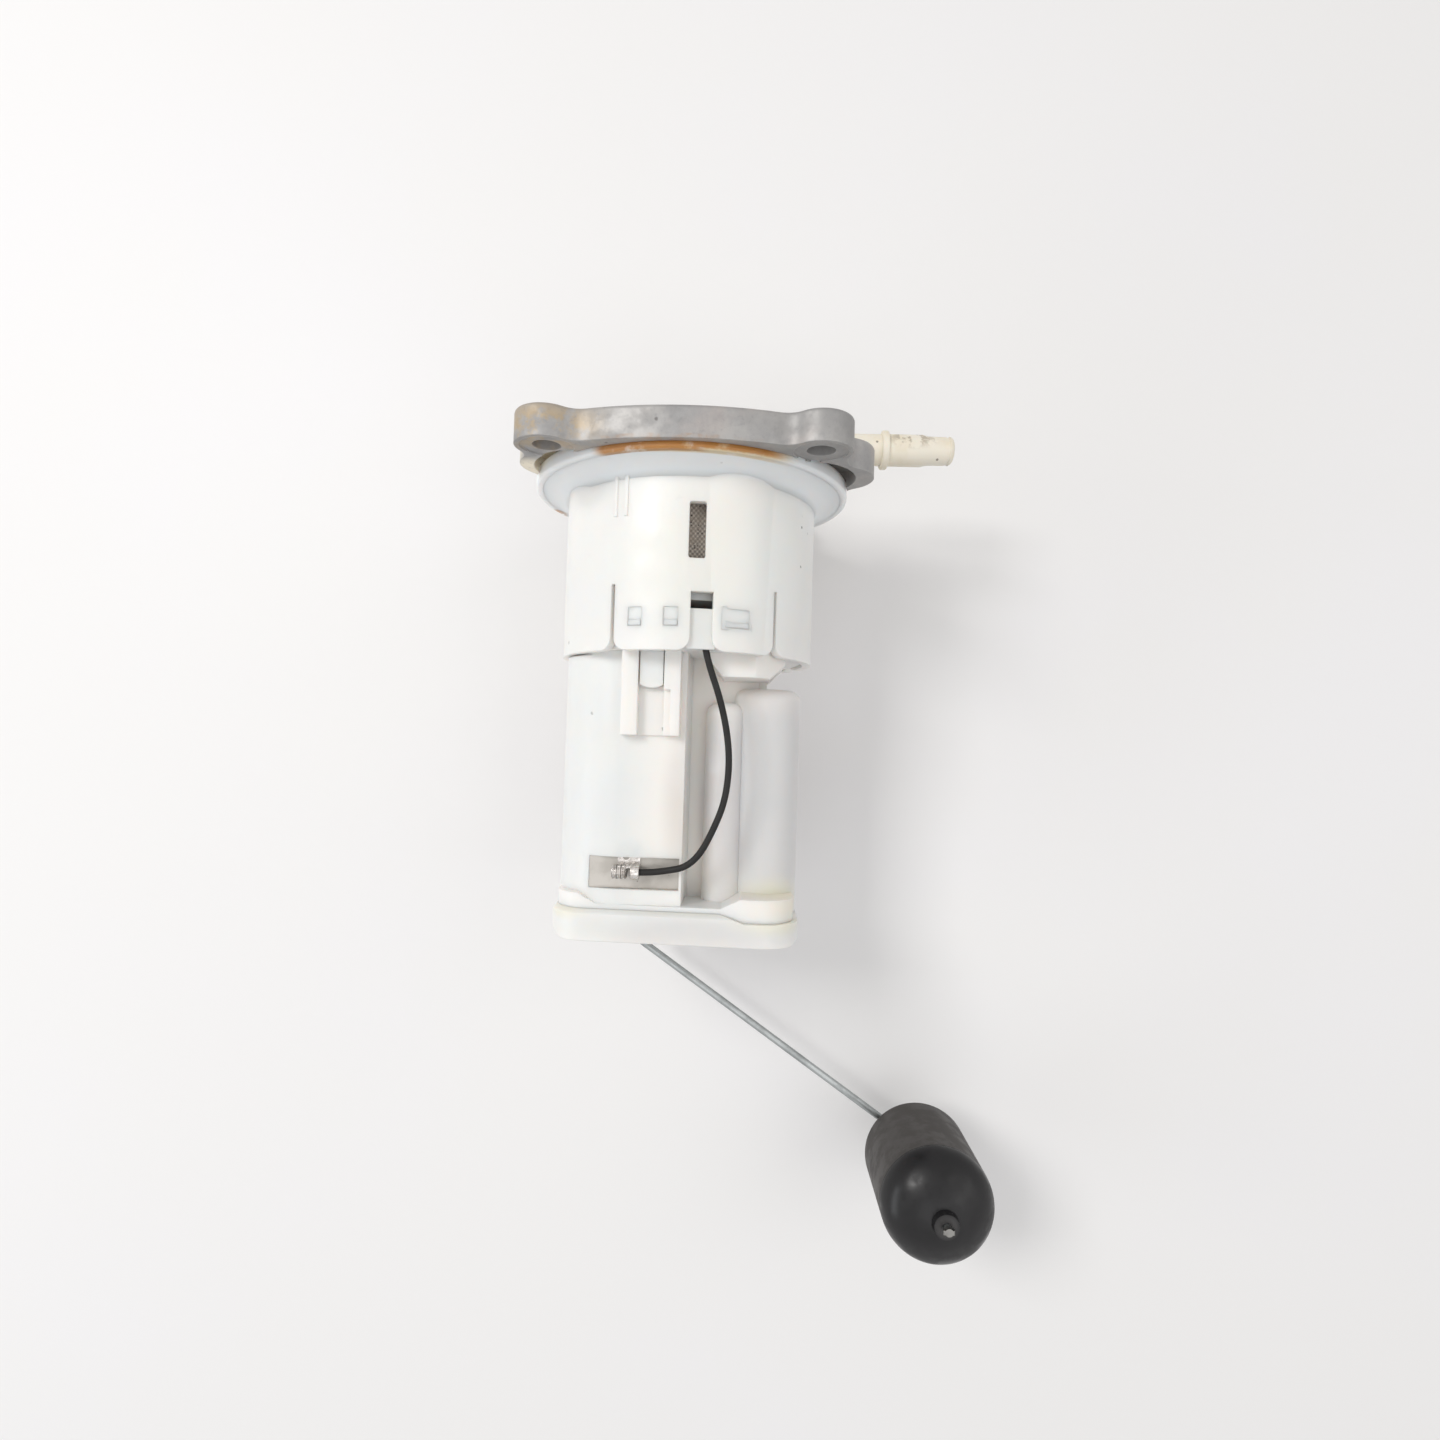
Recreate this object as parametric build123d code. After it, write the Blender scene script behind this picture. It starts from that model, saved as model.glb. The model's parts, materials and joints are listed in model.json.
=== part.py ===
from build123d import *
import math
import os

# Fuel pump module that hangs in a tank. Millimetres, +Z up and out of the tank.
# The origin is the centre of the flange disc's lower face, which seats on the tank.
# The outlet points along +X, the guide rails face -Y and the level sender is on the +Y side.

# Mounting flange: a disc with a skirt of spring fingers below it.
disc_radius = 44.0
disc_thickness = 4.0
disc_edge_round = 0.8
skirt_radius = 35.0
skirt_wall = 2.4
skirt_depth = 46.5
seal_groove_radius = 42.0
seal_groove_depth = 2.2
panel_offset = 16.0
panel_rise = 1.0
front_panel_angle = 25.2
front_panel_foot_rise = 0.6
side_panel_angle = -58.6
side_panel_length = 24.0
finger_count = 5
finger_slot_width = 1.1
finger_slot_length = 16.5
first_slot_angle = -29.2
finger_corner = 3.2
sight_window = (4.2, 14.0)
sight_window_x = 3.9
sight_window_top = 9.8
lead_gap_width = 5.6
lead_gap_x = 5.5
lead_gap_length = 14.5
lead_gap_open = 4.0
lead_plate_end_gap = 0.5
lead_plate_recess = 1.1
lead_plate_wall = 1.3
snap_from_end = 10.5
snap_height = 4.6
snap_gap = 0.12
snap_slope = 1.1
skirt_rib_width = 1.0
skirt_rib_rise = 0.4
skirt_rib_depth = 13.0
boss_radius = 30.0
boss_height = 3.5
boss_round = 1.0

# Retaining ring: a die casting with four bolt lugs.
ring_rise = 1.5
ring_thickness = 8.0
ring_body_radius = 43.4
ring_front_radius = 86.0
ring_front_reach = 46.3
ring_bore_radius = 37.0
ring_clearance = 0.3
ring_top_round = 1.1
valley_round = 5.0
front_bolt_spacing = 66.4
front_bolt_y = -38.4
rear_bolt_spacing = 54.0
rear_bolt_y = 43.0
bolt_hole_radius = 3.5
lug_radius = 7.8
lobe_radius = 9.3
right_lobe = (39.5, -19.5)
left_lobe = (-33.8, -25.0)
lobe_neck = 5.0
spot_face_radius = 6.6
spot_face_depth = 0.4
relief_radius = 13.3
relief_depth = 4.5
right_relief = (30.8, -18.8)
left_relief = (-26.6, -22.5)

# Outlet joint: an elbow with a quick-connect spigot.
outlet_x = 6.0
outlet_height = 16.7
spigot_radius = 4.0
spigot_tip_x = 74.2
spigot_bore = 2.4
collar_x = 53.6
collar_width = 2.0
collar_radius = 5.4
neck_radius = 4.4
riser_radius = 6.6
riser_base_height = 2.5
riser_plug_radius = 5.0
riser_plug_depth = 4.6
joint_ear_offset = 10.5
joint_ear_radius = 3.4
screw_radius = 1.4
screw_length = 6.0
screw_head_radius = 2.8
screw_head_height = 1.8
seal_wire = 0.9
plug_clearance = 0.05

# Electrical connector on the flange.
socket_y = 20.0
socket_length = 24.0
socket_width = 11.0
socket_wall = 1.6
socket_height = 14.0
blade_count = 4
blade_pitch = 4.8
blade_width = 2.8
blade_thickness = 0.8
blade_rise = 10.5
blade_drop = 2.0

# Filter element and its case, inside the skirt.
element_radius = 30.8
element_bore = 15.0
element_top = 3.0
element_cap = 1.2
hub_radius = 13.4
hub_wall = 1.6
hub_depth = 6.0
tray_radius = 30.8
tray_from_end = 15.3
tray_thickness = 2.2
case_ring_radius = 29.4
case_ring_wall = 1.6
tongue_width = 6.0
tongue_x = -7.2
tongue_thickness = 1.8
tongue_depth = 55.6
tongue_round = 5.5
lead_notch_start = -1.0
lead_notch_end = 24.0

# Pump holder: a pump barrel and a regulator barrel under a round snap collar.
collar_gap = 0.6
holder_collar_wall = 2.0
collar_from_end = 10.5
holder_plate_from_end = 2.9
holder_plate_thickness = 2.2
holder_bottom = 112.2
holder_wall = 1.6
pump_x = -15.0
pump_y = -6.5
pump_can_radius = 15.4
pump_can_gap = 0.5
holder_right_x = 1.8
holder_back_y = 11.0
regulator_x = 22.8
regulator_y = -7.0
regulator_bore = 7.6
regulator_top = 58.0
regulator_end = 114.3
return_tube_x = 11.6
return_tube_y = -11.0
return_tube_radius = 5.2
return_tube_bore = 2.8
return_tube_top = 58.0
return_tube_round = 3.4
web_front_y = -9.4
web_back_y = 4.0
rail_width = 4.2
rail_height = 3.6
rail_depth = 67.5
rail_step = 1.7
rail_step_z = 55.8
flow_box_width = 19.6
flow_box_x = 17.3
flow_box_depth = 52.0
flow_box_bevel = 4.2
flow_box_front = 25.6
window_left = -22.2
window_right = 1.1
window_top = 98.8
window_bottom = 107.0
foot_inset = 1.3
foot_rise = 1.3
foot_corner_rise = 3.8
foot_left_x = -25.0
foot_right_x = 17.0
foot_slope = 5.0
sender_pad_width = 25.0
sender_pad_top = 72.0
sender_pad_y = 12.6
sender_rail_width = 3.0
sender_rail_height = 3.0

# Strainer cover: a tray with an inlet grid that closes the holder from below.
cover_bottom = 120.2
cover_left_x = -32.6
cover_back_x = 4.0
cover_ramp_x = 12.0
cover_ramp_length = 6.0
cover_front_y = -25.0
cover_corner = 10.0
cover_wall = 1.6
cover_lobe_radius = 9.6
cover_lobe_x = 22.5
cover_lobe_y = -17.4
cover_end_round = 4.6
cover_edge_round = 2.6
cover_lip = 1.1
cover_back_corner = 4.0
inlet_slot_count = 6
inlet_slot_width = 2.4
inlet_slot_length = 15.0
inlet_slot_pitch = 5.0
strainer_thickness = 3.0
strainer_gap = 0.35
strainer_length = 32.0
strainer_width = 24.0

# Electric pump inside the barrel.
can_wall = 1.2
can_top = 52.0
can_bottom = 110.0
can_lip = 1.2
inner_fit = 0.1
cover_disc_top = 104.2
inlet_nipple_radius = 5.0
inlet_nipple_end = 114.6
inlet_port_radius = 3.0
casing_top = 98.0
impeller_radius = 12.6
impeller_thickness = 3.4
impeller_pocket = 3.8
impeller_gap = 0.3
vane_count = 24
vane_slot_width = 1.5
vane_slot_depth = 2.4
shaft_radius = 1.5
shaft_top = 56.3
shaft_bottom = 104.05
bush_radius = 3.0
bush_length = 3.6
running_gap = 0.05
armature_radius = 9.2
armature_top = 72.0
armature_length = 20.0
armature_slots = 7
armature_slot_width = 2.0
armature_slot_depth = 3.6
winding_height = 3.0
winding_radius = 8.2
magnet_inner = 10.0
magnet_top = 70.0
magnet_length = 26.0
magnet_angle = 128.0
commutator_radius = 6.0
commutator_top = 61.0
commutator_length = 7.0
commutator_bars = 7
brush_width = 4.0
brush_height = 4.4
brush_length = 4.6
brush_gap = 0.06
brush_box_wall = 1.1
end_cap_bottom = 58.0
end_cap_top = 49.0
nipple_radius = 4.4
nipple_bore = 3.3
nipple_into_case = 6.2
valve_seat_z = 53.0
seat_hole = 1.7
pump_tab = (2.6, 0.7, 12.0)
pump_tab_x = 6.0
pump_tab_y = -8.5

# Flat runs that make one turn of a coil spring.
coil_sides = 10

# Check valve in the pump's nipple.
poppet_radius = 2.8
poppet_thickness = 1.7
poppet_stem = 1.0
poppet_stem_length = 5.0
poppet_nose = 1.4
check_wire = 0.4
check_spring_radius = 2.0
check_spring_length = 9.0
check_turns = 5
valve_stop_thickness = 1.8
valve_stop_bore = 1.3

# Pressure regulator in the second barrel.
regulator_can_radius = 6.8
regulator_can_wall = 0.8
regulator_can_top = 62.0
regulator_can_bottom = 84.0
regulator_flange_z = 72.0
regulator_flange_radius = 7.4
regulator_flange_thickness = 1.2
regulator_nipple_radius = 3.2
regulator_nipple_bore = 1.2
regulator_nipple_length = 6.0
regulator_seal_room = 2.6
regulator_plate_radius = 5.6
regulator_plate_thickness = 1.4
regulator_ball_radius = 1.6
regulator_wire = 0.8
regulator_spring_radius = 3.8
regulator_turns = 6
clip_thickness = 1.0
clip_groove = 0.5
clip_inner = 5.6
clip_opening = 60.0

# Level sender on the back of the holder.
sender_x = -14.0
sender_z = -96.0
sender_case_width = 28.0
sender_case_height = 36.0
sender_case_top = -76.0
sender_case_front_y = 15.9
sender_case_back_y = 27.2
sender_case_corner = 3.0
sender_recess = 3.0
card_width = 22.0
card_height = 11.0
card_thickness = 0.8
card_lift = 11.5
pivot_pin_radius = 2.4
pivot_pin_end_y = 36.8
pivot_clip_thickness = 0.6
pivot_clip_radius = 4.2
hub_front_y = 27.9
hub_back_y = 35.4
arm_hub_radius = 6.2
lever_width = 6.4
lever_length = 22.0
wiper_radius = 12.0
wiper_angle = 50.0
wiper_thickness = 0.35
wiper_width = 1.2

# Float and its wire arm.
wire_radius = 1.1
arm_plane_y = 33.0
arm_bend_x = -16.0
arm_bend_z = -132.9
arm_end_x = 70.5
arm_end_z = -191.7
float_x = 75.0
float_z = -196.8
float_radius = 16.0
float_far_y = 30.6
float_seam_y = 2.6
float_wall = 1.5
float_dome_depth = 10.0
float_boss_radius = 4.0
float_boss_length = 1.8
wire_tip_y = -11.6
wire_tip_flat = 0.9
float_bore_gap = 0.1

# Ground lead between the pump can and the pump's terminal.
lead_radius = 0.85
ground_plate_thickness = 0.45
ground_plate_seat = 0.02
terminal_thickness = 0.4
terminal_x = -12.0
terminal_plate_left = -14.8
terminal_plate_right = -9.0
terminal_plate_rise = 3.4
terminal_hole_radius = 0.8
barrel_z = -102.3
barrel_y = -25.3
barrel_radius = 1.75
lead_fit = 0.03

# Places that follow from the values above.
skirt_bore = skirt_radius - skirt_wall
ring_top = ring_rise + ring_thickness
boss_top = disc_thickness + boss_height
chamber_radius = pump_can_radius + pump_can_gap
barrel_outer = chamber_radius + holder_wall
holder_front_y = pump_y - barrel_outer
regulator_outer = regulator_bore + holder_wall
holder_collar_radius = skirt_bore - collar_gap
can_bore = pump_can_radius - can_wall
finger_slot_top = skirt_depth - finger_slot_length
lead_gap_top = skirt_depth - lead_gap_length
snap_top = skirt_depth - snap_from_end
tray_top = skirt_depth - tray_from_end
tray_bottom = tray_top + tray_thickness
holder_collar_top = skirt_depth - collar_from_end
holder_plate_top = skirt_depth - holder_plate_from_end
nipple_top = holder_plate_top - nipple_into_case
ground_plate_back_y = pump_y - pump_can_radius - ground_plate_seat
ground_plate_front_y = ground_plate_back_y - ground_plate_thickness

MIN_Z = (Align.CENTER, Align.CENTER, Align.MIN)
MAX_Z = (Align.CENTER, Align.CENTER, Align.MAX)


def post(radius, low, high, x=0.0, y=0.0):
    return Pos(x, y, low) * Cylinder(radius, high - low, align=MIN_Z)


def tube(outer, inner, low, high, x=0.0, y=0.0):
    return post(outer, low, high, x, y) - post(inner, low - 1, high + 1, x, y)


def block(x_low, x_high, y_low, y_high, z_low, z_high):
    middle = Pos((x_low + x_high) / 2, (y_low + y_high) / 2, (z_low + z_high) / 2)
    return middle * Box(x_high - x_low, y_high - y_low, z_high - z_low)


def sector(outer, inner, low, high, start, end):
    """Part of a ring, between two angles measured from -Y towards +X."""
    span = end - start
    wedge = Polyline(
        (0, 0),
        (0, -2 * outer),
        (2 * outer * math.tan(math.radians(min(span, 80) / 2)), -2 * outer),
        (2 * outer * math.sin(math.radians(span)), -2 * outer * math.cos(math.radians(span))),
        (0, 0),
    )
    piece = extrude(Pos(0, 0, low) * make_face(wedge), amount=high - low)
    return (Rot(0, 0, start) * piece) & tube(outer, inner, low, high)


def torus_at(major, minor, z, x=0.0, y=0.0):
    return Pos(x, y, z) * Torus(major, minor)


def coil(radius, wire, length, turns):
    """A compression spring of square wire that stands on z = 0, inside its length."""
    rise = (length - wire) / (turns * coil_sides)
    points = []
    for step in range(turns * coil_sides + 1):
        turn = math.radians(step * 360 / coil_sides)
        points.append((radius * math.cos(turn), radius * math.sin(turn), wire / 2 + step * rise))
    path = Polyline(*points)
    section = Plane(origin=points[0], z_dir=path % 0) * Rectangle(wire, wire)
    return sweep(section, path=path, transition=Transition.RIGHT)


def angle_at(x):
    """The angle from -Y at which the skirt's face has this x."""
    return math.degrees(math.asin(x / skirt_radius))


def through_skirt(sketch, x):
    """A cutter through the skirt, drawn on its front face and turned to the place at x."""
    plane = Plane.XZ.offset(skirt_bore - 1.5)
    return Rot(0, 0, angle_at(x)) * extrude(plane * sketch, amount=skirt_wall + 3)


def finger_gap(width, top):
    """The slot between two fingers, open below, with the fingers' rounded corners."""
    slot = Pos(0, -(top + skirt_depth + 1) / 2) * Rectangle(width, skirt_depth + 1 - top)
    flare = Pos(0, -skirt_depth + finger_corner / 2) * Rectangle(width + 2 * finger_corner, finger_corner)
    for side in (-1, 1):
        corner = Pos(side * (width / 2 + finger_corner), -skirt_depth + finger_corner)
        flare -= corner * Circle(finger_corner)
    return slot + flare


def round_edges(shape, radius, z):
    edges = shape.edges().filter_by(lambda edge: abs(edge.center().Z - z) < 0.01)
    return fillet(edges, radius)


def skirt_panel(angle, low, foot_rise):
    """A swelling of the skirt that runs down from the disc and flattens towards its foot."""
    top_radius = skirt_radius + panel_rise - panel_offset
    foot_radius = skirt_radius + foot_rise - panel_offset
    swelling = Cone(foot_radius, top_radius, seal_groove_depth - low, align=MIN_Z)
    swelling = Pos(0, -panel_offset, low) * swelling
    swelling &= block(-disc_radius, disc_radius, -disc_radius, 0, low, disc_thickness)
    return Rot(0, 0, angle) * (swelling - post(skirt_bore + 0.5, low - 1, disc_thickness))


def make_flange():
    disc = post(disc_radius, 0, disc_thickness)
    disc = fillet(disc.edges().filter_by(GeomType.CIRCLE), disc_edge_round)
    body = disc - tube(seal_groove_radius, skirt_radius, -1, seal_groove_depth)
    body += tube(skirt_radius, skirt_bore, -skirt_depth, 0.5)
    body += skirt_panel(front_panel_angle, -skirt_depth, front_panel_foot_rise)
    body += skirt_panel(side_panel_angle, -side_panel_length, 0)
    half = skirt_rib_width / 2
    for x in (-17.0, -14.2):
        rib = block(-half, half, -skirt_radius - skirt_rib_rise, -skirt_bore - 1, -skirt_rib_depth, 1)
        body += Rot(0, 0, angle_at(x)) * rib
    pitch = 360 / finger_count
    for index in range(finger_count):
        slot_x = skirt_radius * math.sin(math.radians(first_slot_angle))
        slot = through_skirt(finger_gap(finger_slot_width, finger_slot_top), slot_x)
        body -= Rot(0, 0, index * pitch) * slot
    body -= through_skirt(finger_gap(lead_gap_width, lead_gap_top), lead_gap_x)
    window = RectangleRounded(sight_window[0], sight_window[1], 0.6)
    window_middle = sight_window_top + sight_window[1] / 2
    body -= through_skirt(Pos(0, -window_middle) * window, sight_window_x)
    for x, width, rise in snap_places():
        snap = Pos(0, -snap_top - snap_height / 2) * Rectangle(width, snap_height)
        body -= through_skirt(snap, x)
    plate_face = skirt_radius - lead_plate_recess
    gap_angle = math.degrees(lead_gap_width / 2 / skirt_radius) + 1.5
    plate_low = -skirt_depth + lead_plate_end_gap
    plate_high = -lead_gap_top - lead_gap_open
    plate = sector(plate_face, plate_face - lead_plate_wall, plate_low, plate_high, -gap_angle, gap_angle)
    body += Rot(0, 0, angle_at(lead_gap_x)) * plate
    body += tube(hub_radius, hub_radius - hub_wall, -hub_depth, 0.5)
    boss = fillet(post(boss_radius, 0.5, boss_top).edges().group_by(Axis.Z)[-1], boss_round)
    body += boss
    body += make_socket_shroud()
    body -= post(riser_plug_radius + plug_clearance, boss_top - riser_plug_depth, boss_top + 1, outlet_x)
    body -= post(riser_plug_radius - 1.6, -1, boss_top, outlet_x)
    for side in (-1, 1):
        hole = post(screw_radius, boss_top - screw_length + riser_base_height, boss_top + 1)
        body -= Pos(outlet_x, side * joint_ear_offset, 0) * hole
    for x in blade_places():
        slot = Box(blade_width, blade_thickness, boss_top + 2, align=MIN_Z)
        body -= Pos(x, socket_y, -1) * slot
    return body


def snap_places():
    """The x and width of each snap window on the front fingers, and the skirt's rise there."""
    return [(-11.2, 3.6, 0), (-2.1, 3.6, 0), (14.0, 6.4, front_panel_foot_rise)]


def make_socket_shroud():
    outer = RectangleRounded(socket_length, socket_width, 3.0)
    inner = RectangleRounded(socket_length - 2 * socket_wall, socket_width - 2 * socket_wall, 1.6)
    wall = Pos(0, socket_y, boss_top - 0.5) * extrude(outer - inner, amount=socket_height + 0.5)
    latch = block(-3, 3, socket_y + socket_width / 2 - 0.3, socket_y + socket_width / 2 + 1.2,
                  boss_top + socket_height - 4.5, boss_top + socket_height - 2.5)
    return wall + latch


def blade_places():
    first = -(blade_count - 1) * blade_pitch / 2
    return [first + index * blade_pitch for index in range(blade_count)]


def make_connector_terminals():
    blades = []
    for x in blade_places():
        blade = block(-blade_width / 2, blade_width / 2, -blade_thickness / 2, blade_thickness / 2,
                      -blade_drop, boss_top + blade_rise)
        blade = chamfer(blade.edges().filter_by(Axis.X), 0.25)
        blades.append(Pos(x, socket_y, 0) * blade)
    return Compound(blades)


def ring_bolts():
    front = [(side * front_bolt_spacing / 2, front_bolt_y) for side in (-1, 1)]
    rear = [(side * rear_bolt_spacing / 2, rear_bolt_y) for side in (-1, 1)]
    return front + rear


def ring_outline():
    arc_centre = ring_front_radius - ring_front_reach
    outline = Circle(ring_body_radius)
    for spacing, side in ((front_bolt_spacing, -1), (rear_bolt_spacing, 1)):
        bar = Pos(0, -side * arc_centre) * Circle(ring_front_radius)
        bar &= Pos(0, side * ring_body_radius) * Rectangle(spacing, ring_body_radius)
        outline += bar
    for x, y in ring_bolts():
        outline += Pos(x, y) * Circle(lug_radius)
    for side, lobe in ((1, right_lobe), (-1, left_lobe)):
        outline += Pos(*lobe) * Circle(lobe_radius)
        lug = Pos(side * front_bolt_spacing / 2, front_bolt_y) * Circle(lobe_neck)
        outline += make_hull(lug.edges() + (Pos(*lobe) * Circle(lobe_neck)).edges())
    return offset(offset(outline, valley_round), -valley_round)


def make_retaining_ring():
    ring = Pos(0, 0, ring_rise) * extrude(ring_outline(), amount=ring_thickness)
    ring = round_edges(ring, ring_top_round, ring_top)
    ring -= post(ring_bore_radius, 0, ring_top + 1)
    ring -= post(disc_radius + ring_clearance, 0, disc_thickness)
    for x, y in (right_relief, left_relief):
        ring -= post(relief_radius, 0, ring_rise + relief_depth, x, y)
    for x, y in ring_bolts():
        ring -= post(bolt_hole_radius, 0, ring_top + 1, x, y)
        ring -= post(spot_face_radius, 0, ring_rise + spot_face_depth, x, y)
    return ring


def make_outlet_joint():
    base_top = boss_top + riser_base_height
    base = make_hull(
        (Pos(outlet_x, -joint_ear_offset) * Circle(joint_ear_radius)).edges()
        + (Pos(outlet_x, joint_ear_offset) * Circle(joint_ear_radius)).edges()
        + (Pos(outlet_x, 0) * Circle(riser_radius + 1)).edges()
    )
    joint = Pos(0, 0, boss_top) * extrude(base, amount=riser_base_height)
    joint += post(riser_radius, boss_top, outlet_height, outlet_x)
    joint += Pos(outlet_x, 0, outlet_height) * Sphere(riser_radius)
    joint += post(riser_plug_radius, boss_top - riser_plug_depth, boss_top + 1, outlet_x)
    groove_z = boss_top - riser_plug_depth / 2
    joint -= torus_at(riser_plug_radius, seal_wire, groove_z, outlet_x)
    axis = Plane(origin=(outlet_x, 0, outlet_height), x_dir=(0, 1, 0), z_dir=(1, 0, 0))
    reach = spigot_tip_x - outlet_x
    spigot = fillet(Cylinder(spigot_radius, reach, align=MIN_Z).edges().group_by(Axis.Z)[-1], 1.5)
    neck = Cylinder(neck_radius, collar_x - outlet_x, align=MIN_Z)
    collar = Cylinder(collar_radius, collar_width, align=MIN_Z)
    collar = Pos(0, 0, collar_x - outlet_x) * fillet(collar.edges().filter_by(GeomType.CIRCLE), 0.5)
    joint += axis * (spigot + neck + collar)
    joint -= axis * Cylinder(spigot_bore, reach + 1, align=MIN_Z)
    joint -= post(spigot_bore, boss_top - riser_plug_depth - 1, outlet_height, outlet_x)
    for side in (-1, 1):
        hole = post(screw_radius + 0.2, boss_top - 1, base_top + 1)
        joint -= Pos(outlet_x, side * joint_ear_offset, 0) * hole
    return joint


def make_outlet_seal():
    groove_z = boss_top - riser_plug_depth / 2
    outer = riser_plug_radius + plug_clearance
    inner = riser_plug_radius - seal_wire
    room = tube(outer, inner, groove_z - 1, groove_z + 1, outlet_x)
    return torus_at(riser_plug_radius, seal_wire - 0.04, groove_z, outlet_x) & room


def make_outlet_screws():
    screws = []
    seat = boss_top + riser_base_height
    for side in (-1, 1):
        head = post(screw_head_radius, seat, seat + screw_head_height)
        head = fillet(head.edges().group_by(Axis.Z)[-1], 0.8)
        head -= post(1.0, seat + 0.7, seat + screw_head_height + 1)
        screw = head + post(screw_radius - 0.02, seat - screw_length, seat + 0.1)
        screws.append(Pos(outlet_x, side * joint_ear_offset, 0) * screw)
    return Compound(screws)


def make_filter_element():
    body = tube(element_radius, element_bore, -tray_top, -element_top)
    low = -tray_top + element_cap
    high = -element_top - element_cap
    return body - tube(element_radius + 1, element_radius - 0.6, low, high)


def make_filter_seal():
    return tube(element_bore - 0.02, hub_radius + 0.02, -hub_depth + 0.4, -element_top)


def make_filter_case():
    case = post(tray_radius, -tray_bottom, -tray_top)
    case += tube(case_ring_radius, case_ring_radius - case_ring_wall, -holder_plate_top, -tray_bottom + 0.5)
    case -= sector(case_ring_radius + 1, case_ring_radius - 3, -holder_plate_top - 1, -tray_bottom,
                   lead_notch_start, lead_notch_end)
    bore = nipple_radius + 0.6
    case += post(bore + 1.4, -holder_plate_top, -tray_bottom + 0.5, pump_x, pump_y)
    case -= post(bore, -holder_plate_top - 1, -tray_bottom + 0.6, pump_x, pump_y)
    case -= post(bore - 2.2, -tray_bottom - 1, 0, pump_x, pump_y)
    tongue = Pos(tongue_x, -(tongue_depth + tray_bottom - 0.5) / 2) * Rectangle(
        tongue_width, tongue_depth - tray_bottom + 0.5
    )
    tongue &= Pos(tongue_x, -tongue_depth + tongue_round + 0.2) * (
        Circle(tongue_round) + Pos(0, 20) * Rectangle(2 * tongue_round, 40)
    )
    front = Plane.XZ.offset(tongue_front())
    case += extrude(front * tongue, amount=-tongue_thickness)
    return case


def tongue_front():
    return -holder_front_y + rail_height - 0.6


def holder_section():
    outline = Pos(pump_x, pump_y) * Circle(barrel_outer)
    corner_width = holder_right_x - pump_x
    outline += Pos(pump_x + corner_width / 2, (holder_front_y + holder_back_y) / 2) * Rectangle(
        corner_width, holder_back_y - holder_front_y
    )
    web_width = regulator_x - holder_right_x
    outline += Pos(holder_right_x + web_width / 2, (web_front_y + web_back_y) / 2) * Rectangle(
        web_width, web_back_y - web_front_y
    )
    return outline


def make_pump_holder():
    plate_low = -holder_plate_top - holder_plate_thickness
    length = holder_bottom + plate_low
    holder = Pos(0, 0, -holder_bottom) * extrude(holder_section(), amount=length)
    barrel = post(regulator_outer, -regulator_end, -regulator_top + 4, regulator_x, regulator_y)
    holder += fillet(barrel.edges().group_by(Axis.Z)[-1], 3.0)
    riser = post(return_tube_radius, -regulator_end, -return_tube_top, return_tube_x, return_tube_y)
    holder += fillet(riser.edges().group_by(Axis.Z)[-1], return_tube_round)
    holder += make_foot()
    holder += post(holder_collar_radius, plate_low, -holder_plate_top)
    holder += tube(holder_collar_radius, holder_collar_radius - holder_collar_wall,
                   -holder_plate_top - 1, -holder_collar_top)
    skirt_room = -skirt_depth - 0.4
    holder -= tube(disc_radius, holder_collar_radius, skirt_room, plate_low + 0.01)
    holder += make_flow_box()
    holder += make_guide_rails()
    holder += make_sender_mount()
    for x, width, rise in snap_places():
        holder += Rot(0, 0, angle_at(x)) * snap_nub(width, -skirt_radius - rise)
    holder -= post(chamber_radius, -holder_bottom - 1, plate_low + 0.01, pump_x, pump_y)
    holder -= post(chamber_radius - 3.4, plate_low - 1, -holder_plate_top + 1, pump_x, pump_y)
    holder -= post(regulator_bore, -regulator_end - 1, -regulator_top - regulator_seal_room,
                   regulator_x, regulator_y)
    holder -= post(regulator_nipple_radius + 1.6, -regulator_top - regulator_seal_room - 1,
                   -regulator_top, regulator_x, regulator_y)
    holder -= post(regulator_nipple_radius + 0.05, -regulator_top - 1,
                   -holder_plate_top + 1, regulator_x, regulator_y)
    clip_z = -regulator_can_bottom - clip_thickness / 2 - 0.1
    holder -= tube(regulator_bore + clip_groove, regulator_bore - 0.5,
                   clip_z - clip_thickness / 2 - 0.05, clip_z + clip_thickness / 2 + 0.05,
                   regulator_x, regulator_y)
    holder -= post(return_tube_bore, -regulator_end - 1, -return_tube_top - 3, return_tube_x, return_tube_y)
    window = block(window_left, window_right, -40, ground_plate_back_y, -window_bottom, -window_top)
    holder -= window
    leaf_room = block(terminal_plate_left - 0.1, terminal_plate_right + 0.1,
                      ground_plate_front_y - terminal_thickness - 0.1, ground_plate_back_y,
                      -window_top - 0.1, terminal_plate_top() + 0.1)
    holder -= leaf_room
    pocket = block(holder_right_x + holder_wall, regulator_x - regulator_outer - 0.6,
                   web_front_y + holder_wall + 4, web_back_y + 1, -holder_bottom + 4, plate_low - 4)
    holder -= pocket
    tongue_hole = block(tongue_x - tongue_width / 2 - 0.3, tongue_x + tongue_width / 2 + 0.3,
                        -tongue_front() - 0.3, -tongue_front() + tongue_thickness + 0.3,
                        -rail_depth - 1, -holder_plate_top + 1)
    holder -= tongue_hole
    holder -= sector(holder_collar_radius + 3, holder_collar_radius - 3, plate_low - 1,
                     -holder_collar_top + 1, 3.5, 16)
    return holder & above_cover(0)


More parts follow.
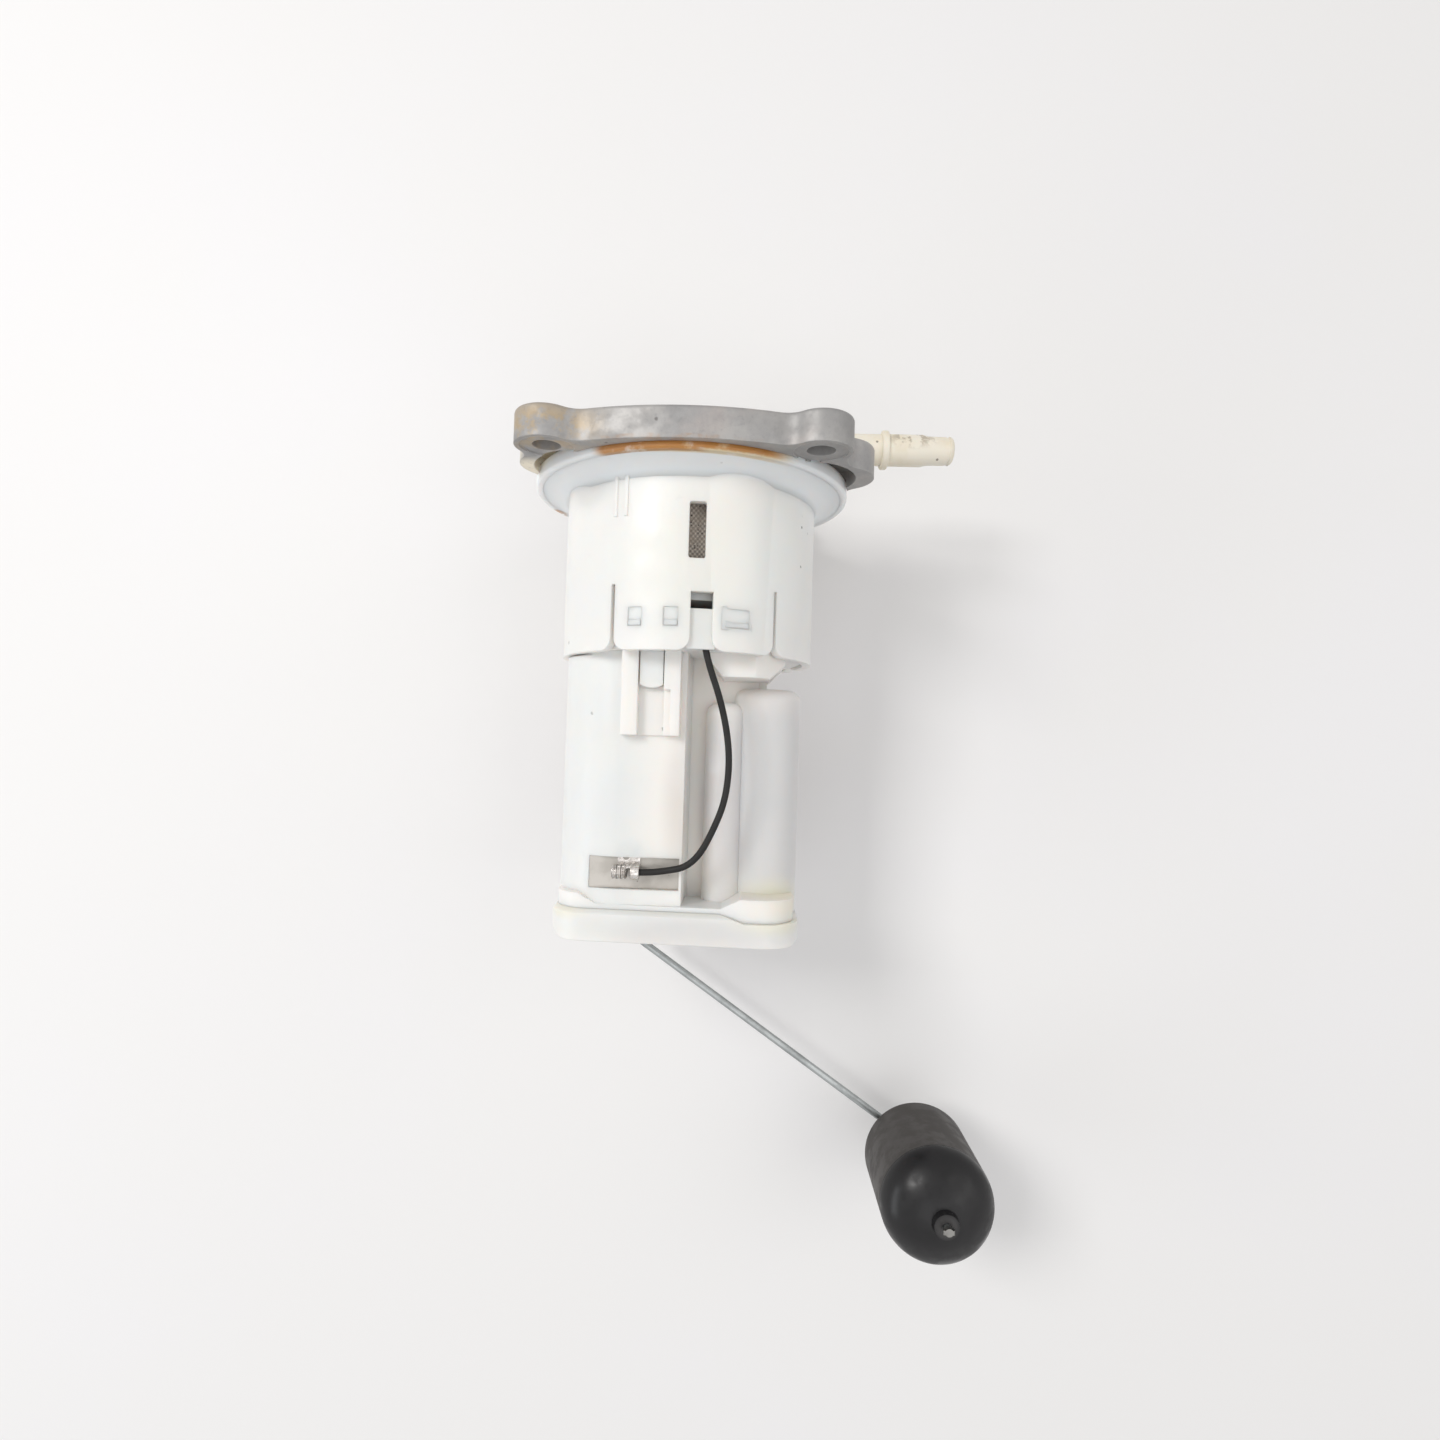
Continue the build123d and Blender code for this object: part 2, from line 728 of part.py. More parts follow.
def snap_nub(width, face_y):
    """A catch that fills its window, with a face that slopes in towards the top."""
    low = -snap_top - snap_height + snap_gap
    high = -snap_top - snap_gap
    back_y = -holder_collar_radius + 1
    profile = Polyline(
        (back_y, low),
        (face_y, low),
        (face_y, low + 1),
        (face_y + snap_slope, high),
        (back_y, high),
        (back_y, low),
    )
    length = width - 2 * snap_gap
    return extrude(Plane.YZ.offset(-length / 2) * make_face(profile), amount=length)


def above_cover(top):
    """The room over the strainer cover, whose top steps down by a ramp towards the regulator."""
    reach = 2 * disc_radius
    profile = Polyline(
        (-reach, -holder_bottom),
        (cover_ramp_x, -holder_bottom),
        (cover_ramp_x + cover_ramp_length, -regulator_end),
        (reach, -regulator_end),
        (reach, top),
        (-reach, top),
        (-reach, -holder_bottom),
    )
    return extrude(Plane.XZ.offset(-reach) * make_face(profile), amount=2 * reach)


def make_foot():
    """A low flange round the holder's bottom that rises into a gusset at each end."""
    high = -holder_bottom + foot_corner_rise
    low = -holder_bottom + foot_rise
    reach = 2 * disc_radius
    profile = Polyline(
        (-reach, -regulator_end),
        (reach, -regulator_end),
        (reach, high),
        (foot_right_x, high),
        (foot_right_x - foot_slope, low),
        (foot_left_x + foot_slope, low),
        (foot_left_x, high),
        (-reach, high),
        (-reach, -regulator_end),
    )
    rise = regulator_end - holder_bottom + foot_corner_rise
    foot = Pos(0, 0, -regulator_end) * extrude(offset(cover_outline(), -foot_inset), amount=rise)
    foot &= extrude(Plane.XZ.offset(-web_back_y) * make_face(profile), amount=reach)
    return foot


def make_flow_box():
    half = flow_box_width / 2
    bottom = -flow_box_depth
    top = -holder_plate_top - 0.5
    outline = Polyline(
        (-half, top),
        (-half, bottom + flow_box_bevel),
        (-half + flow_box_bevel * 0.8, bottom),
        (half - flow_box_bevel, bottom),
        (half, bottom + flow_box_bevel),
        (half, top),
        (-half, top),
    )
    face = Plane.XZ.offset(-web_back_y) * (Pos(flow_box_x, 0) * make_face(outline))
    box = extrude(face, amount=web_back_y + flow_box_front)
    return box & post(holder_collar_radius, bottom - 1, top + 1)


def make_guide_rails():
    front = holder_front_y - rail_height
    inner = tongue_width / 2 + 0.3
    top = -holder_plate_top - 0.5
    rails = None
    for side in (-1, 1):
        near = tongue_x + side * inner
        far = tongue_x + side * (inner + rail_width)
        rail = block(min(near, far), max(near, far), front, holder_front_y + 1, -rail_depth, top)
        rails = rail if rails is None else rails + rail
    step_low = tongue_x + inner - 1
    rails -= block(step_low, step_low + 1 + rail_step, front - 1, front + 1.6, -rail_depth - 1, -rail_step_z)
    lip = block(tongue_x - inner - 1, tongue_x + inner + 1, holder_front_y - 0.8, holder_front_y + 1,
                -rail_depth, top)
    return rails + lip


def make_sender_mount():
    half = sender_pad_width / 2
    left = sender_x - half
    right = sender_x + half
    mount = block(left, right, holder_back_y - 6, sender_pad_y, -holder_bottom, -sender_pad_top)
    for side in (-1, 1):
        stem_x = sender_x + side * (half - 4)
        mount += block(stem_x - sender_rail_width / 2, stem_x + sender_rail_width / 2,
                       sender_pad_y - 1, sender_case_front_y + sender_rail_height - 1.5,
                       -holder_bottom + 2, -sender_pad_top - 2)
        mount += block(stem_x - sender_rail_width / 2 - 1, stem_x + sender_rail_width / 2 + 1,
                       sender_case_front_y + sender_rail_height - 1.5,
                       sender_case_front_y + sender_rail_height,
                       -holder_bottom + 2, -sender_pad_top - 2)
    return mount


def cover_outline():
    left = cover_left_x + cover_corner
    back = holder_back_y + cover_wall
    lobe_back = web_back_y + cover_wall - cover_back_corner
    rounds = [
        (left, cover_front_y + cover_corner, cover_corner),
        (left, back - cover_corner, cover_corner),
        (cover_back_x, back - cover_corner, cover_corner),
        (cover_lobe_x + cover_lobe_radius - cover_back_corner, lobe_back, cover_back_corner),
        (cover_lobe_x, cover_lobe_y, cover_lobe_radius),
    ]
    edges = ShapeList()
    for x, y, radius in rounds:
        edges += (Pos(x, y) * Circle(radius)).edges()
    return make_hull(edges)


def make_strainer_cover():
    height = cover_bottom - holder_bottom
    cover = Pos(0, 0, -cover_bottom) * extrude(cover_outline(), amount=height)
    cover = chamfer(cover.edges().group_by(Axis.Z)[-1], cover_lip)
    lobe_right = cover_lobe_x + cover_lobe_radius
    profile = Pos((cover_left_x + lobe_right) / 2, -(holder_bottom + cover_bottom) / 2) * Rectangle(
        lobe_right - cover_left_x, height
    )
    left_corner = profile.vertices().sort_by(Axis.Y)[:2].sort_by(Axis.X)[0]
    profile = fillet(left_corner, cover_end_round)
    right_corner = profile.vertices().sort_by(Axis.Y)[:2].sort_by(Axis.X)[-1]
    profile = fillet(right_corner, cover_edge_round)
    cover &= extrude(Plane.XZ.offset(-2 * disc_radius) * profile, amount=4 * disc_radius)
    cover -= above_cover(0)
    inner = offset(cover_outline(), -cover_wall)
    room = Pos(0, 0, -cover_bottom + cover_wall) * extrude(inner, amount=height - 2 * cover_wall)
    room &= block(cover_left_x + cover_end_round - cover_wall, lobe_right, -disc_radius, disc_radius,
                  -cover_bottom, -holder_bottom)
    cover -= room - Pos(0, 0, -cover_wall) * above_cover(0)
    cover -= post(inlet_nipple_radius + 2.2, -cover_bottom + cover_wall, 0, pump_x, pump_y)
    cover -= post(regulator_bore - 2, -cover_bottom + cover_wall, 0, regulator_x, regulator_y)
    first = pump_x - (inlet_slot_count - 1) * inlet_slot_pitch / 2
    for index in range(inlet_slot_count):
        slot = Rot(0, 0, 90) * SlotOverall(inlet_slot_length, inlet_slot_width)
        cover -= Pos(first + index * inlet_slot_pitch, pump_y, -cover_bottom - 1) * extrude(slot, amount=5)
    tab_x = regulator_x - regulator_outer - 6
    tab = block(tab_x - 4, tab_x + 4, web_back_y + 0.3, web_back_y + cover_wall, -regulator_end, -104)
    hole = block(tab_x - 2, tab_x + 2, web_back_y - 1, web_back_y + 3, -109, -106.4)
    return cover + (tab - hole)


def make_suction_strainer():
    floor = -cover_bottom + cover_wall
    pad = RectangleRounded(strainer_length, strainer_width, 8)
    pad = Pos(pump_x + 4, pump_y, floor + strainer_gap) * extrude(pad, amount=strainer_thickness)
    pad = fillet(pad.edges().group_by(Axis.Z)[-1], 1.2)
    collar_low = floor + strainer_gap + strainer_thickness - 0.5
    pad += post(inlet_nipple_radius + 1.5, collar_low, -can_bottom - 1.2, pump_x, pump_y)
    pad -= post(inlet_nipple_radius + 0.02, collar_low + 0.5, 0, pump_x, pump_y)
    return pad


def make_pump_can():
    can = tube(pump_can_radius, can_bore, -can_bottom, -can_top, pump_x, pump_y)
    can += tube(pump_can_radius, can_bore - can_lip, -can_bottom, -can_bottom + 1, pump_x, pump_y)
    rim = can.edges().filter_by(GeomType.CIRCLE).filter_by(
        lambda edge: abs(edge.radius - pump_can_radius) < 0.01
    )
    return fillet(rim, 0.7)


def make_pump_inlet_cover():
    cover = post(can_bore - inner_fit, -can_bottom + 1, -cover_disc_top, pump_x, pump_y)
    cover += post(can_bore - can_lip - 0.1, -can_bottom, -can_bottom + 1.1, pump_x, pump_y)
    cover += post(inlet_nipple_radius, -inlet_nipple_end, -can_bottom + 0.5, pump_x, pump_y)
    cover -= post(inlet_port_radius, -inlet_nipple_end - 1, -cover_disc_top - 2, pump_x, pump_y)
    port = block(0, impeller_radius - 2.6, -2.0, 2.0, -cover_disc_top - 3.4, -cover_disc_top + 1)
    channel_inner = impeller_radius - vane_slot_depth
    channel = tube(impeller_radius, channel_inner, -cover_disc_top - 1.4, -cover_disc_top + 1)
    channel &= block(-20, 20, -20, 20, -cover_disc_top - 2, 0) - block(-20, -4, -5, 5, -200, 0)
    cover -= Pos(pump_x, pump_y, 0) * port
    cover -= Pos(pump_x, pump_y, 0) * channel
    cover += post(2.4, -cover_disc_top - 3.4, -cover_disc_top, pump_x, pump_y)
    return cover


def make_pump_casing():
    casing = post(can_bore - inner_fit, -cover_disc_top, -casing_top, pump_x, pump_y)
    casing -= post(impeller_radius + impeller_gap, -cover_disc_top - 1, -cover_disc_top + impeller_pocket,
                   pump_x, pump_y)
    casing += post(bush_radius + 1.6, -casing_top - 0.5, -casing_top + 2.2, pump_x, pump_y)
    casing -= post(bush_radius, -casing_top - 1.4, -casing_top + 3, pump_x, pump_y)
    casing -= post(shaft_radius + 0.3, -cover_disc_top, -casing_top, pump_x, pump_y)
    casing -= post(1.6, -cover_disc_top, -casing_top + 1, pump_x - 8.5, pump_y + 7.0)
    return casing


def make_impeller():
    low = -cover_disc_top + (impeller_pocket - impeller_thickness) / 2
    impeller = post(impeller_radius, low, low + impeller_thickness)
    slot = block(impeller_radius - vane_slot_depth, impeller_radius + 1,
                 -vane_slot_width / 2, vane_slot_width / 2, low - 1, low + impeller_thickness + 1)
    for index in range(vane_count):
        impeller -= Rot(0, 0, index * 360 / vane_count) * slot
    for angle in (0, 120, 240):
        impeller -= Rot(0, 0, angle) * post(1.1, low - 1, low + impeller_thickness + 1, 5.5)
    impeller -= post(shaft_radius + 0.02, low - 1, low + impeller_thickness + 1)
    return Pos(pump_x, pump_y, 0) * impeller


def make_pump_shaft():
    shaft = post(shaft_radius, -shaft_bottom, -shaft_top, pump_x, pump_y)
    return chamfer(shaft.edges().filter_by(GeomType.CIRCLE), 0.3)


def make_shaft_bushes():
    lower = tube(bush_radius - 0.02, shaft_radius + running_gap, -casing_top - 1.4,
                 -casing_top - 1.4 + bush_length, pump_x, pump_y)
    upper = tube(bush_radius - 0.02, shaft_radius + running_gap, -end_cap_bottom - bush_length + 1.7,
                 -end_cap_bottom + 1.7, pump_x, pump_y)
    return Compound([lower, upper])


def make_armature():
    low = -armature_top - armature_length
    stack = post(armature_radius, low, -armature_top)
    slot = block(armature_radius - armature_slot_depth, armature_radius + 1,
                 -armature_slot_width / 2, armature_slot_width / 2, low - 1, -armature_top + 1)
    for index in range(armature_slots):
        stack -= Rot(0, 0, index * 360 / armature_slots) * slot
    stack -= post(shaft_radius + 0.02, low - 1, -armature_top + 1)
    return Pos(pump_x, pump_y, 0) * stack


def make_windings():
    ends = []
    for low in (-armature_top, -armature_top - armature_length - winding_height):
        ring = tube(winding_radius, 3.0, low, low + winding_height, pump_x, pump_y)
        circles = ring.edges().filter_by(GeomType.CIRCLE)
        outer = circles.filter_by(lambda edge: edge.radius > 4)
        ends.append(fillet(outer, 1.2))
    return Compound(ends)


def make_commutator():
    low = -commutator_top - commutator_length
    drum = post(commutator_radius, low, -commutator_top)
    groove = block(commutator_radius - 0.7, commutator_radius + 1, -0.25, 0.25, low - 1, -commutator_top + 1)
    for index in range(commutator_bars):
        drum -= Rot(0, 0, index * 360 / commutator_bars) * groove
    drum += post(commutator_radius, low - 0.01, low + 0.6)
    drum -= post(shaft_radius + 0.02, low - 1, -commutator_top + 1)
    return Pos(pump_x, pump_y, 0) * drum


def make_magnets():
    low = -magnet_top - magnet_length
    arcs = []
    for start in (90 - magnet_angle / 2, 270 - magnet_angle / 2):
        arc = sector(can_bore - 0.05, magnet_inner, low, -magnet_top, start, start + magnet_angle)
        arcs.append(Pos(pump_x, pump_y, 0) * arc)
    return Compound(arcs)


def brush_z():
    return -commutator_top - commutator_length / 2


def make_brushes():
    brushes = []
    inner = commutator_radius + brush_gap
    for side in (0, 180):
        brush = block(commutator_radius - 0.6, inner + brush_length, -brush_width / 2, brush_width / 2,
                      brush_z() - brush_height / 2, brush_z() + brush_height / 2)
        brush -= post(inner, -90, -50)
        brushes.append(Pos(pump_x, pump_y, 0) * Rot(0, 0, side) * brush)
    return Compound(brushes)


def make_brush_springs():
    start = commutator_radius + brush_gap + brush_length
    length = can_bore - inner_fit - 0.8 - start
    springs = []
    for side in (0, 180):
        spring = Pos(start, 0, brush_z()) * Rot(0, 90, 0) * coil(1.3, 0.4, length, 3)
        springs.append(Pos(pump_x, pump_y, 0) * Rot(0, 0, side) * spring)
    return Compound(springs)


def make_pump_end_cap():
    outer = can_bore - inner_fit
    cap = post(outer, -end_cap_bottom, -end_cap_top)
    box_low = brush_z() - brush_height / 2 - brush_box_wall
    half = brush_width / 2 + brush_box_wall
    for side in (0, 180):
        holder = block(commutator_radius + 1.4, outer, -half, half, box_low, -end_cap_bottom + 0.5)
        holder &= post(outer - 0.3, box_low - 1, 0)
        slot = block(commutator_radius, outer - 0.8, -brush_width / 2 - 0.03, brush_width / 2 + 0.03,
                     brush_z() - brush_height / 2 - 0.03, brush_z() + brush_height / 2 + 0.03)
        cap += Rot(0, 0, side) * (holder - slot)
    cap += post(nipple_radius, -end_cap_top - 0.5, -nipple_top)
    cap = cap - post(nipple_bore, -valve_seat_z, -nipple_top + 1)
    cap -= post(seat_hole, -end_cap_bottom - 1, -valve_seat_z + 1)
    cap -= post(bush_radius, -end_cap_bottom - 1, -end_cap_bottom + 1.8)
    cap = Pos(pump_x, pump_y, 0) * cap
    for side in (-1, 1):
        tab = Pos(pump_x + side * pump_tab_x, pump_y + pump_tab_y, -end_cap_top - 1)
        cap += tab * Box(pump_tab[0], pump_tab[1], pump_tab[2] + 1, align=MIN_Z)
    return cap


def make_pump_seal():
    outer = nipple_radius + 0.58
    inner = nipple_radius + 0.02
    return tube(outer, inner, -tray_bottom - 6.5, -tray_bottom - 2.5, pump_x, pump_y)


def make_check_valve():
    seat = -valve_seat_z
    valve = post(poppet_radius, seat, seat + poppet_thickness)
    valve = chamfer(valve.edges().group_by(Axis.Z)[0], 0.4)
    valve += post(poppet_nose, seat - 0.9, seat + 0.1)
    valve += post(poppet_stem, seat + poppet_thickness - 0.1, seat + poppet_thickness + poppet_stem_length)
    return Pos(pump_x, pump_y, 0) * valve


def make_check_spring():
    low = -valve_seat_z + poppet_thickness
    spring = coil(check_spring_radius, check_wire, check_spring_length - 0.04, check_turns)
    return Pos(pump_x, pump_y, low + 0.02) * spring


def make_valve_stop():
    low = -valve_seat_z + poppet_thickness + check_spring_length
    return tube(nipple_bore - 0.02, valve_stop_bore, low, low + valve_stop_thickness, pump_x, pump_y)


def make_regulator_body():
    x, y = regulator_x, regulator_y
    body = post(regulator_can_radius, -regulator_can_bottom, -regulator_can_top, x, y)
    body = fillet(body.edges().filter_by(GeomType.CIRCLE), 0.6)
    body += post(regulator_flange_radius, -regulator_flange_z - regulator_flange_thickness,
                 -regulator_flange_z, x, y)
    body += post(regulator_nipple_radius, -regulator_can_top - 0.5,
                 -regulator_can_top + regulator_nipple_length, x, y)
    body -= post(regulator_can_radius - regulator_can_wall, -regulator_can_bottom + regulator_can_wall,
                 -regulator_can_top - regulator_can_wall, x, y)
    body -= post(regulator_nipple_bore, -regulator_can_top - 3, 0, x, y)
    body -= post(1.8, -regulator_can_bottom - 1, -regulator_can_bottom + 2, x, y)
    return body


def make_regulator_seal():
    low = -regulator_top - regulator_seal_room + 0.4
    return tube(regulator_nipple_radius + 1.55, regulator_nipple_radius + 0.03, low, low + 1.8,
                regulator_x, regulator_y)


def regulator_ball_z():
    """The ball's centre when it closes the end of the nipple's bore."""
    drop = math.sqrt(regulator_ball_radius ** 2 - regulator_nipple_bore ** 2)
    return -regulator_can_top - regulator_can_wall - drop - 0.02


def make_regulator_valve():
    ball_z = regulator_ball_z()
    plate_top = ball_z - regulator_ball_radius * 0.6
    valve = post(regulator_plate_radius, plate_top - regulator_plate_thickness, plate_top)
    valve += Pos(0, 0, ball_z) * Sphere(regulator_ball_radius)
    return Pos(regulator_x, regulator_y, 0) * valve


def regulator_spring_top():
    return regulator_ball_z() - regulator_ball_radius * 0.6 - regulator_plate_thickness


def make_regulator_spring():
    low = -regulator_can_bottom + regulator_can_wall
    length = regulator_spring_top() - low
    return Pos(regulator_x, regulator_y, low + 0.02) * coil(
        regulator_spring_radius, regulator_wire, length - 0.04, regulator_turns
    )


def make_regulator_clip():
    high = -regulator_can_bottom - 0.1
    clip = sector(regulator_bore + clip_groove - 0.1, clip_inner, high - clip_thickness, high,
                  clip_opening / 2, 180)
    clip += sector(regulator_bore + clip_groove - 0.1, clip_inner, high - clip_thickness, high,
                   179.5, 360 - clip_opening / 2)
    return Pos(regulator_x, regulator_y, 0) * clip


def make_sensor_case():
    outline = Pos(sender_x, sender_case_top - sender_case_height / 2) * RectangleRounded(
        sender_case_width, sender_case_height, sender_case_corner
    )
    front = Plane.XZ.offset(-sender_case_front_y)
    case = extrude(front * outline, amount=-(sender_case_back_y - sender_case_front_y))
    inner = Pos(sender_x, sender_case_top - sender_case_height / 2) * RectangleRounded(
        sender_case_width - 4, sender_case_height - 4, 1.5
    )
    recess = Plane.XZ.offset(-sender_case_back_y - 1)
    case -= extrude(recess * inner, amount=sender_recess + 1)
    half = sender_pad_width / 2
    for side in (-1, 1):
        stem_x = sender_x + side * (half - 4)
        case -= block(stem_x - sender_rail_width / 2 - 0.2, stem_x + sender_rail_width / 2 + 0.2,
                      sender_case_front_y - 1, sender_case_front_y + sender_rail_height - 1,
                      -130, -sender_pad_top - 1)
        case -= block(stem_x - sender_rail_width / 2 - 1.2, stem_x + sender_rail_width / 2 + 1.2,
                      sender_case_front_y + sender_rail_height - 1.7,
                      sender_case_front_y + sender_rail_height + 0.2,
                      -130, -sender_pad_top - 1)
    pin_length = pivot_pin_end_y - sender_case_back_y + sender_recess
    pin = Plane(origin=(sender_x, sender_case_back_y - sender_recess, sender_z), z_dir=(0, 1, 0))
    case += pin * Cylinder(pivot_pin_radius, pin_length, align=MIN_Z)
    case += pin * Cylinder(pivot_pin_radius + 1.6, hub_front_y - sender_case_back_y + sender_recess - 0.3,
                           align=MIN_Z)
    groove = Plane(origin=(sender_x, hub_back_y + 0.2, sender_z), z_dir=(0, 1, 0))
    case -= groove * (Cylinder(pivot_pin_radius + 1, pivot_clip_thickness + 0.1, align=MIN_Z)
                      - Cylinder(pivot_pin_radius - 0.5, pivot_clip_thickness + 0.1, align=MIN_Z))
    for angle in (-93 - 14, -13 + 14):
        case += stop_peg(angle)
    for pin in sensor_pins(0.02):
        case -= pin
    return case


def stop_peg(angle):
    """A peg beside the lever's path that ends its swing."""
    reach = 10.5
    side = math.degrees(math.asin((lever_width / 2 + 1.5 + 0.1) / reach)) - 14
    turn = -side if angle < -50 else side
    x = sender_x + reach * math.cos(math.radians(angle + turn))
    z = sender_z + reach * math.sin(math.radians(angle + turn))
    start = Plane(origin=(x, sender_case_back_y - sender_recess, z), z_dir=(0, 1, 0))
    return start * Cylinder(1.5, hub_front_y + 3 - sender_case_back_y + sender_recess, align=MIN_Z)


def make_resistor_card():
    floor_y = sender_case_back_y - sender_recess
    middle_z = sender_z + card_lift
    return block(sender_x - card_width / 2, sender_x + card_width / 2, floor_y, floor_y + card_thickness,
                 middle_z - card_height / 2, middle_z + card_height / 2)


def sensor_pins(room):
    floor_y = sender_case_back_y - sender_recess
    pins = []
    for offset_x in (-7.0, 7.0):
        pin = block(-1.1 - room, 1.1 + room, floor_y - 3 - room, floor_y - 2.4 + room,
                    sender_case_top - 4, sender_case_top + 6)
        pins.append(Pos(sender_x + offset_x, 0, 0) * pin)
    return pins


def make_sensor_terminals():
    return Compound(sensor_pins(0))


def make_arm_holder():
    length = hub_back_y - hub_front_y
    start = Plane(origin=(sender_x, hub_front_y, sender_z), z_dir=(0, 1, 0))
    holder = start * Cylinder(arm_hub_radius, length, align=MIN_Z)
    lever_y = arm_plane_y - wire_radius - 1.3
    lever = block(-lever_width / 2, lever_width / 2, lever_y, hub_back_y, -lever_length, 0)
    lever = fillet(lever.edges().filter_by(Axis.Y).group_by(Axis.Z)[0], 2.4)
    holder += Pos(sender_x, 0, sender_z) * Rot(0, lever_turn(), 0) * lever
    wiper_arm = block(0, wiper_radius - 1.5, hub_front_y, hub_front_y + 1.8, -2.6, 2.6)
    holder += Pos(sender_x, 0, sender_z) * Rot(0, -wiper_angle, 0) * wiper_arm
    bore = start * Cylinder(pivot_pin_radius + running_gap, 2 * length, align=(Align.CENTER,) * 3)
    holder -= bore
    holder -= arm_wire(wire_radius + 0.02)
    return holder


def lever_turn():
    """The lever leans with the wire's first run, in degrees about Y."""
    run_x = arm_bend_x - wire_start_x()
    run_z = arm_bend_z - wire_start_z()
    return math.degrees(math.atan2(run_x, run_z)) - 180


def wire_start_x():
    return sender_x + 0.0


def wire_start_z():
    return sender_z - pivot_pin_radius - 4.4


def make_contact_wiper():
    card_y = sender_case_back_y - sender_recess + card_thickness
    wiper = block(wiper_radius - 4.5, wiper_radius + 1.0, hub_front_y - wiper_thickness, hub_front_y,
                  -wiper_width * 1.6, wiper_width * 1.6)
    for side in (-1, 1):
        foot_high = hub_front_y - wiper_thickness + 0.1
        foot = block(wiper_radius - 0.2, wiper_radius + 0.8, card_y + 0.1, foot_high,
                     -wiper_width / 2, wiper_width / 2)
        wiper += Pos(0, 0, side * wiper_width) * foot
    wiper -= block(wiper_radius - 2, wiper_radius + 2, hub_front_y - 4, hub_front_y + 1, -0.35, 0.35)
    return Pos(sender_x, 0, sender_z) * Rot(0, -wiper_angle, 0) * wiper


def make_pivot_clip():
    start = Plane(origin=(sender_x, hub_back_y + 0.22, sender_z), z_dir=(0, 1, 0))
    clip = Cylinder(pivot_clip_radius, pivot_clip_thickness, align=MIN_Z)
    clip -= Cylinder(pivot_pin_radius - 0.45, 3, align=(Align.CENTER,) * 3)
    clip -= Pos(pivot_clip_radius, 0, 0) * Box(2 * pivot_clip_radius, 3.0, 3)
    return start * clip


def arm_wire(radius):
    points = [
        (wire_start_x(), arm_plane_y - 3.2, wire_start_z()),
        (wire_start_x(), arm_plane_y, wire_start_z()),
        (arm_bend_x, arm_plane_y, arm_bend_z),
        (arm_end_x, arm_plane_y, arm_end_z),
        (float_x, arm_plane_y, float_z),
        (float_x, wire_tip_y, float_z),
    ]
    path = FilletPolyline(*points, radius=[1.6, 5.0, 3.0, 1.9])
    section = Plane(origin=points[0], z_dir=(0, 1, 0)) * Circle(radius)
    return sweep(section, path=path)


def make_float_arm():
    arm = arm_wire(wire_radius)
    ears = Box(2 * wire_radius + wire_tip_flat, 1.6, 1.2)
    return arm + Pos(float_x, wire_tip_y + 0.8, float_z) * fillet(ears.edges().filter_by(Axis.Z), 0.4)


def float_axis(y):
    """A plane across the float at y, that looks towards its capped end."""
    return Plane(origin=(float_x, y, float_z), x_dir=(1, 0, 0), z_dir=(0, -1, 0))


def make_float_body():
    length = float_far_y - float_seam_y
    start = float_axis(float_far_y)
    shell = Cylinder(float_radius, length, align=MIN_Z)
    shell = fillet(shell.edges().group_by(Axis.Z)[0], 1.2)
    shell -= Pos(0, 0, float_wall) * Cylinder(float_radius - float_wall, length, align=MIN_Z)
    shell += Cylinder(wire_radius + float_bore_gap + 1.4, length, align=MIN_Z)
    shell -= Cylinder(wire_radius + float_bore_gap, 3 * length, align=(Align.CENTER,) * 3)
    return start * shell


def dome(radius, depth):
    outline = Ellipse(radius, depth) & (Pos(radius / 2, depth / 2) * Rectangle(radius, depth))
    return revolve(Plane.XZ * outline, axis=Axis.Z)


def make_float_cap():
    cap = dome(float_radius, float_dome_depth)
    cap -= dome(float_radius - float_wall, float_dome_depth - float_wall)
    tip = float_dome_depth + float_boss_length
    boss = Cone(float_boss_radius + 0.6, float_boss_radius - 0.6, tip - 4, align=MIN_Z)
    cap += Pos(0, 0, 4) * boss
    cap += Cylinder(wire_radius + float_bore_gap + 1.4, 5, align=MIN_Z)
    cap -= Cylinder(wire_radius + float_bore_gap, 60, align=(Align.CENTER,) * 3)
    return float_axis(float_seam_y) * cap


def lead_route():
    """The lead's points, from the crimp on the can up to the pump's terminal."""
    return [
        (-10.2, -25.3, -102.4),
        (-6.0, -25.3, -102.3),
        (-1.6, -25.6, -101.6),
        (2.8, -26.1, -100.6),
        (6.4, -26.7, -97.3),
        (9.6, -27.2, -91.0),
        (12.4, -27.4, -83.6),
        (13.3, -27.6, -74.6),
        (12.5, -28.0, -66.2),
        (10.4, -28.8, -57.6),
        (7.4, -30.1, -49.4),
        (5.8, -31.1, -42.6),
        (4.6, -29.8, -37.4),
        (1.0, -25.2, -35.2),
        (-4.2, -20.2, -36.6),
    ]


def corner_radii(points):
    radii = []
    for before, here, after in zip(points, points[1:], points[2:]):
        first = Vector(*here) - Vector(*before)
        second = Vector(*after) - Vector(*here)
        half_turn = math.radians(first.get_angle(second)) / 2
        radii.append(0.45 * min(first.length, second.length) / math.tan(half_turn))
    return radii


def make_ground_lead():
    points = lead_route()
    radii = corner_radii(points)
    path = FilletPolyline(*points, radius=radii)
    section = Plane(origin=points[0], z_dir=path % 0) * Circle(lead_radius)
    lead = sweep(section, path=path)
    print("lead length", round(path.length, 1), "bend radii", [round(radius, 1) for radius in radii])
    full_volume = math.pi * lead_radius ** 2 * path.length
    print("lead volume over section times length", round(lead.volume / full_volume, 4))
    return lead


def terminal_plate_top():
    return -window_top + terminal_plate_rise


def make_ground_plate():
    gap = 0.05
    return block(window_left + gap, window_right - gap, ground_plate_front_y, ground_plate_back_y,
                 -window_bottom + gap, -window_top - gap)


